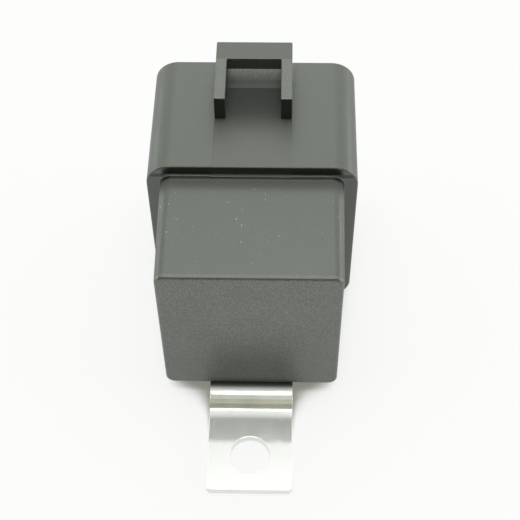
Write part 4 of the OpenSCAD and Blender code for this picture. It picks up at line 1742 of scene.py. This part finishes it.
FINISHES: dict[str, MouldedPlastic | RolledMetal] = {
    finish.name: finish
    for finish in (
        MouldedPlastic(
            "black_moulding",
            (0.0186, 0.0215, 0.0178),
            roughness=0.40,
            ior=2.05,
            tint=(0.93, 1.0, 0.90),
            contrast=0.75,
            dust=0.03,
            dust_place=Zone(8.0, 6.0),
            grain_strength=0.3,
            patches=(
                END_DUST_AND_REFLECTION, END_REFLECTION_RISE, END_EDGE_SHADE, LEG_TOPS_HIGHLIGHT, BAR_TOP_SHADE, BAR_FACE_LIGHT, LEG_ENDS_SHADE,
                STEP_EDGE_SHADE, STEP_SIDES_SHADE, STEP_FACE_SHADE, STEP_FILLET_SHADE, STEP_SHADE, STEP_FOOT_SHADE,
                PAD_TOP_HIGHLIGHT, SLIDE_MARK, SLIDE_FAR_LIGHT, SLIDE_ROOT_AND_BAR_SHADE,
            ),
        ),
        RolledMetal(
            "plated_steel",
            (0.86, 0.87, 0.85),
            roughness=0.24,
            roughness_spread=0.02,
            line_strength=0.12,
            patches=(
                # Painted shade where the strap leaves the can.
                Patch(Zone(-13.9, -12.8), (0.12, 0.13, 0.12), 0.38),
                # Painted reflection: beige and grey bands on the joggle's slope.
                Patch(Zone(-16.62, -16.6, end=-15.3), (0.70, 0.70, 0.62)),
                Patch(Zone(-16.6, -16.4, end=-15.95), (0.52, 0.52, 0.45)),
                # Painted highlight: white band at the lower bend.
                Patch(Zone(-18.0, -17.2, end=-16.9), (1.0, 1.0, 0.98)),
                # Painted reflection: flat white tone over the flat end.
                Patch(Zone(-22.0, -23.6), (0.87, 0.88, 0.865)),
            ),
            # Painted reflection: the strap's bands turned to a flat diffuse tone, almost all of the
            # flat end too.
            blooms=(
                (Zone(-12.9, -13.7), 0.25),
                (Zone(-14.6, -14.7), 1.0),
                (Zone(-16.8, -18.0), 0.77),
                (Zone(-19.1, -17.2, end=-16.9), 0.04),
                (Zone(-21.9, -23.6, waver=0.8, low=1.12), 0.02),
            ),
        ),
        MouldedPlastic("grey_moulding", (0.05, 0.055, 0.06), roughness=0.45),
        MouldedPlastic("epoxy", (0.02, 0.024, 0.03), roughness=0.12, grain_strength=0.05),
        RolledMetal("tinned_brass", (0.78, 0.77, 0.74), roughness=0.3),
        MouldedPlastic("bobbin_nylon", (0.72, 0.69, 0.60), roughness=0.4, contrast=0.06),
        RolledMetal("enamelled_copper", (0.62, 0.25, 0.10)),
        MouldedPlastic("insulating_tape", (0.55, 0.38, 0.06), roughness=0.25, contrast=0.1),
        RolledMetal("iron", (0.56, 0.56, 0.55), roughness=0.35),
        RolledMetal("spring_bronze", (0.68, 0.42, 0.22)),
        RolledMetal("contact_silver", (0.88, 0.88, 0.86), roughness=0.2),
        RolledMetal("rivet_brass", (0.72, 0.58, 0.32), roughness=0.3),
        MouldedPlastic(
            "resistor_enamel",
            (0.60, 0.60, 0.58),
            roughness=0.3,
            contrast=0.05,
            patches=tuple(
                Patch(Zone(*EVERYWHERE, half_width=half, soft=0.04), colour, 0.2)
                for half, colour in BANDS
            ),
        ),
    )
}


def main() -> None:
    """Builds the relay, its finishes and its surroundings."""
    logging.basicConfig(level=logging.INFO, format="%(message)s")
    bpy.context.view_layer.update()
    Studio().build()
    dresser = Dresser()
    dresser.dress(Housing().build(), "housing")
    for assembly in (MountingStrap(), PlugSide(), Magnet(), Contacts(), Resistor()):
        LOG.info("%s", type(assembly).__name__)
        assembly.build(dresser)


if __name__ == "__main__":
    main()
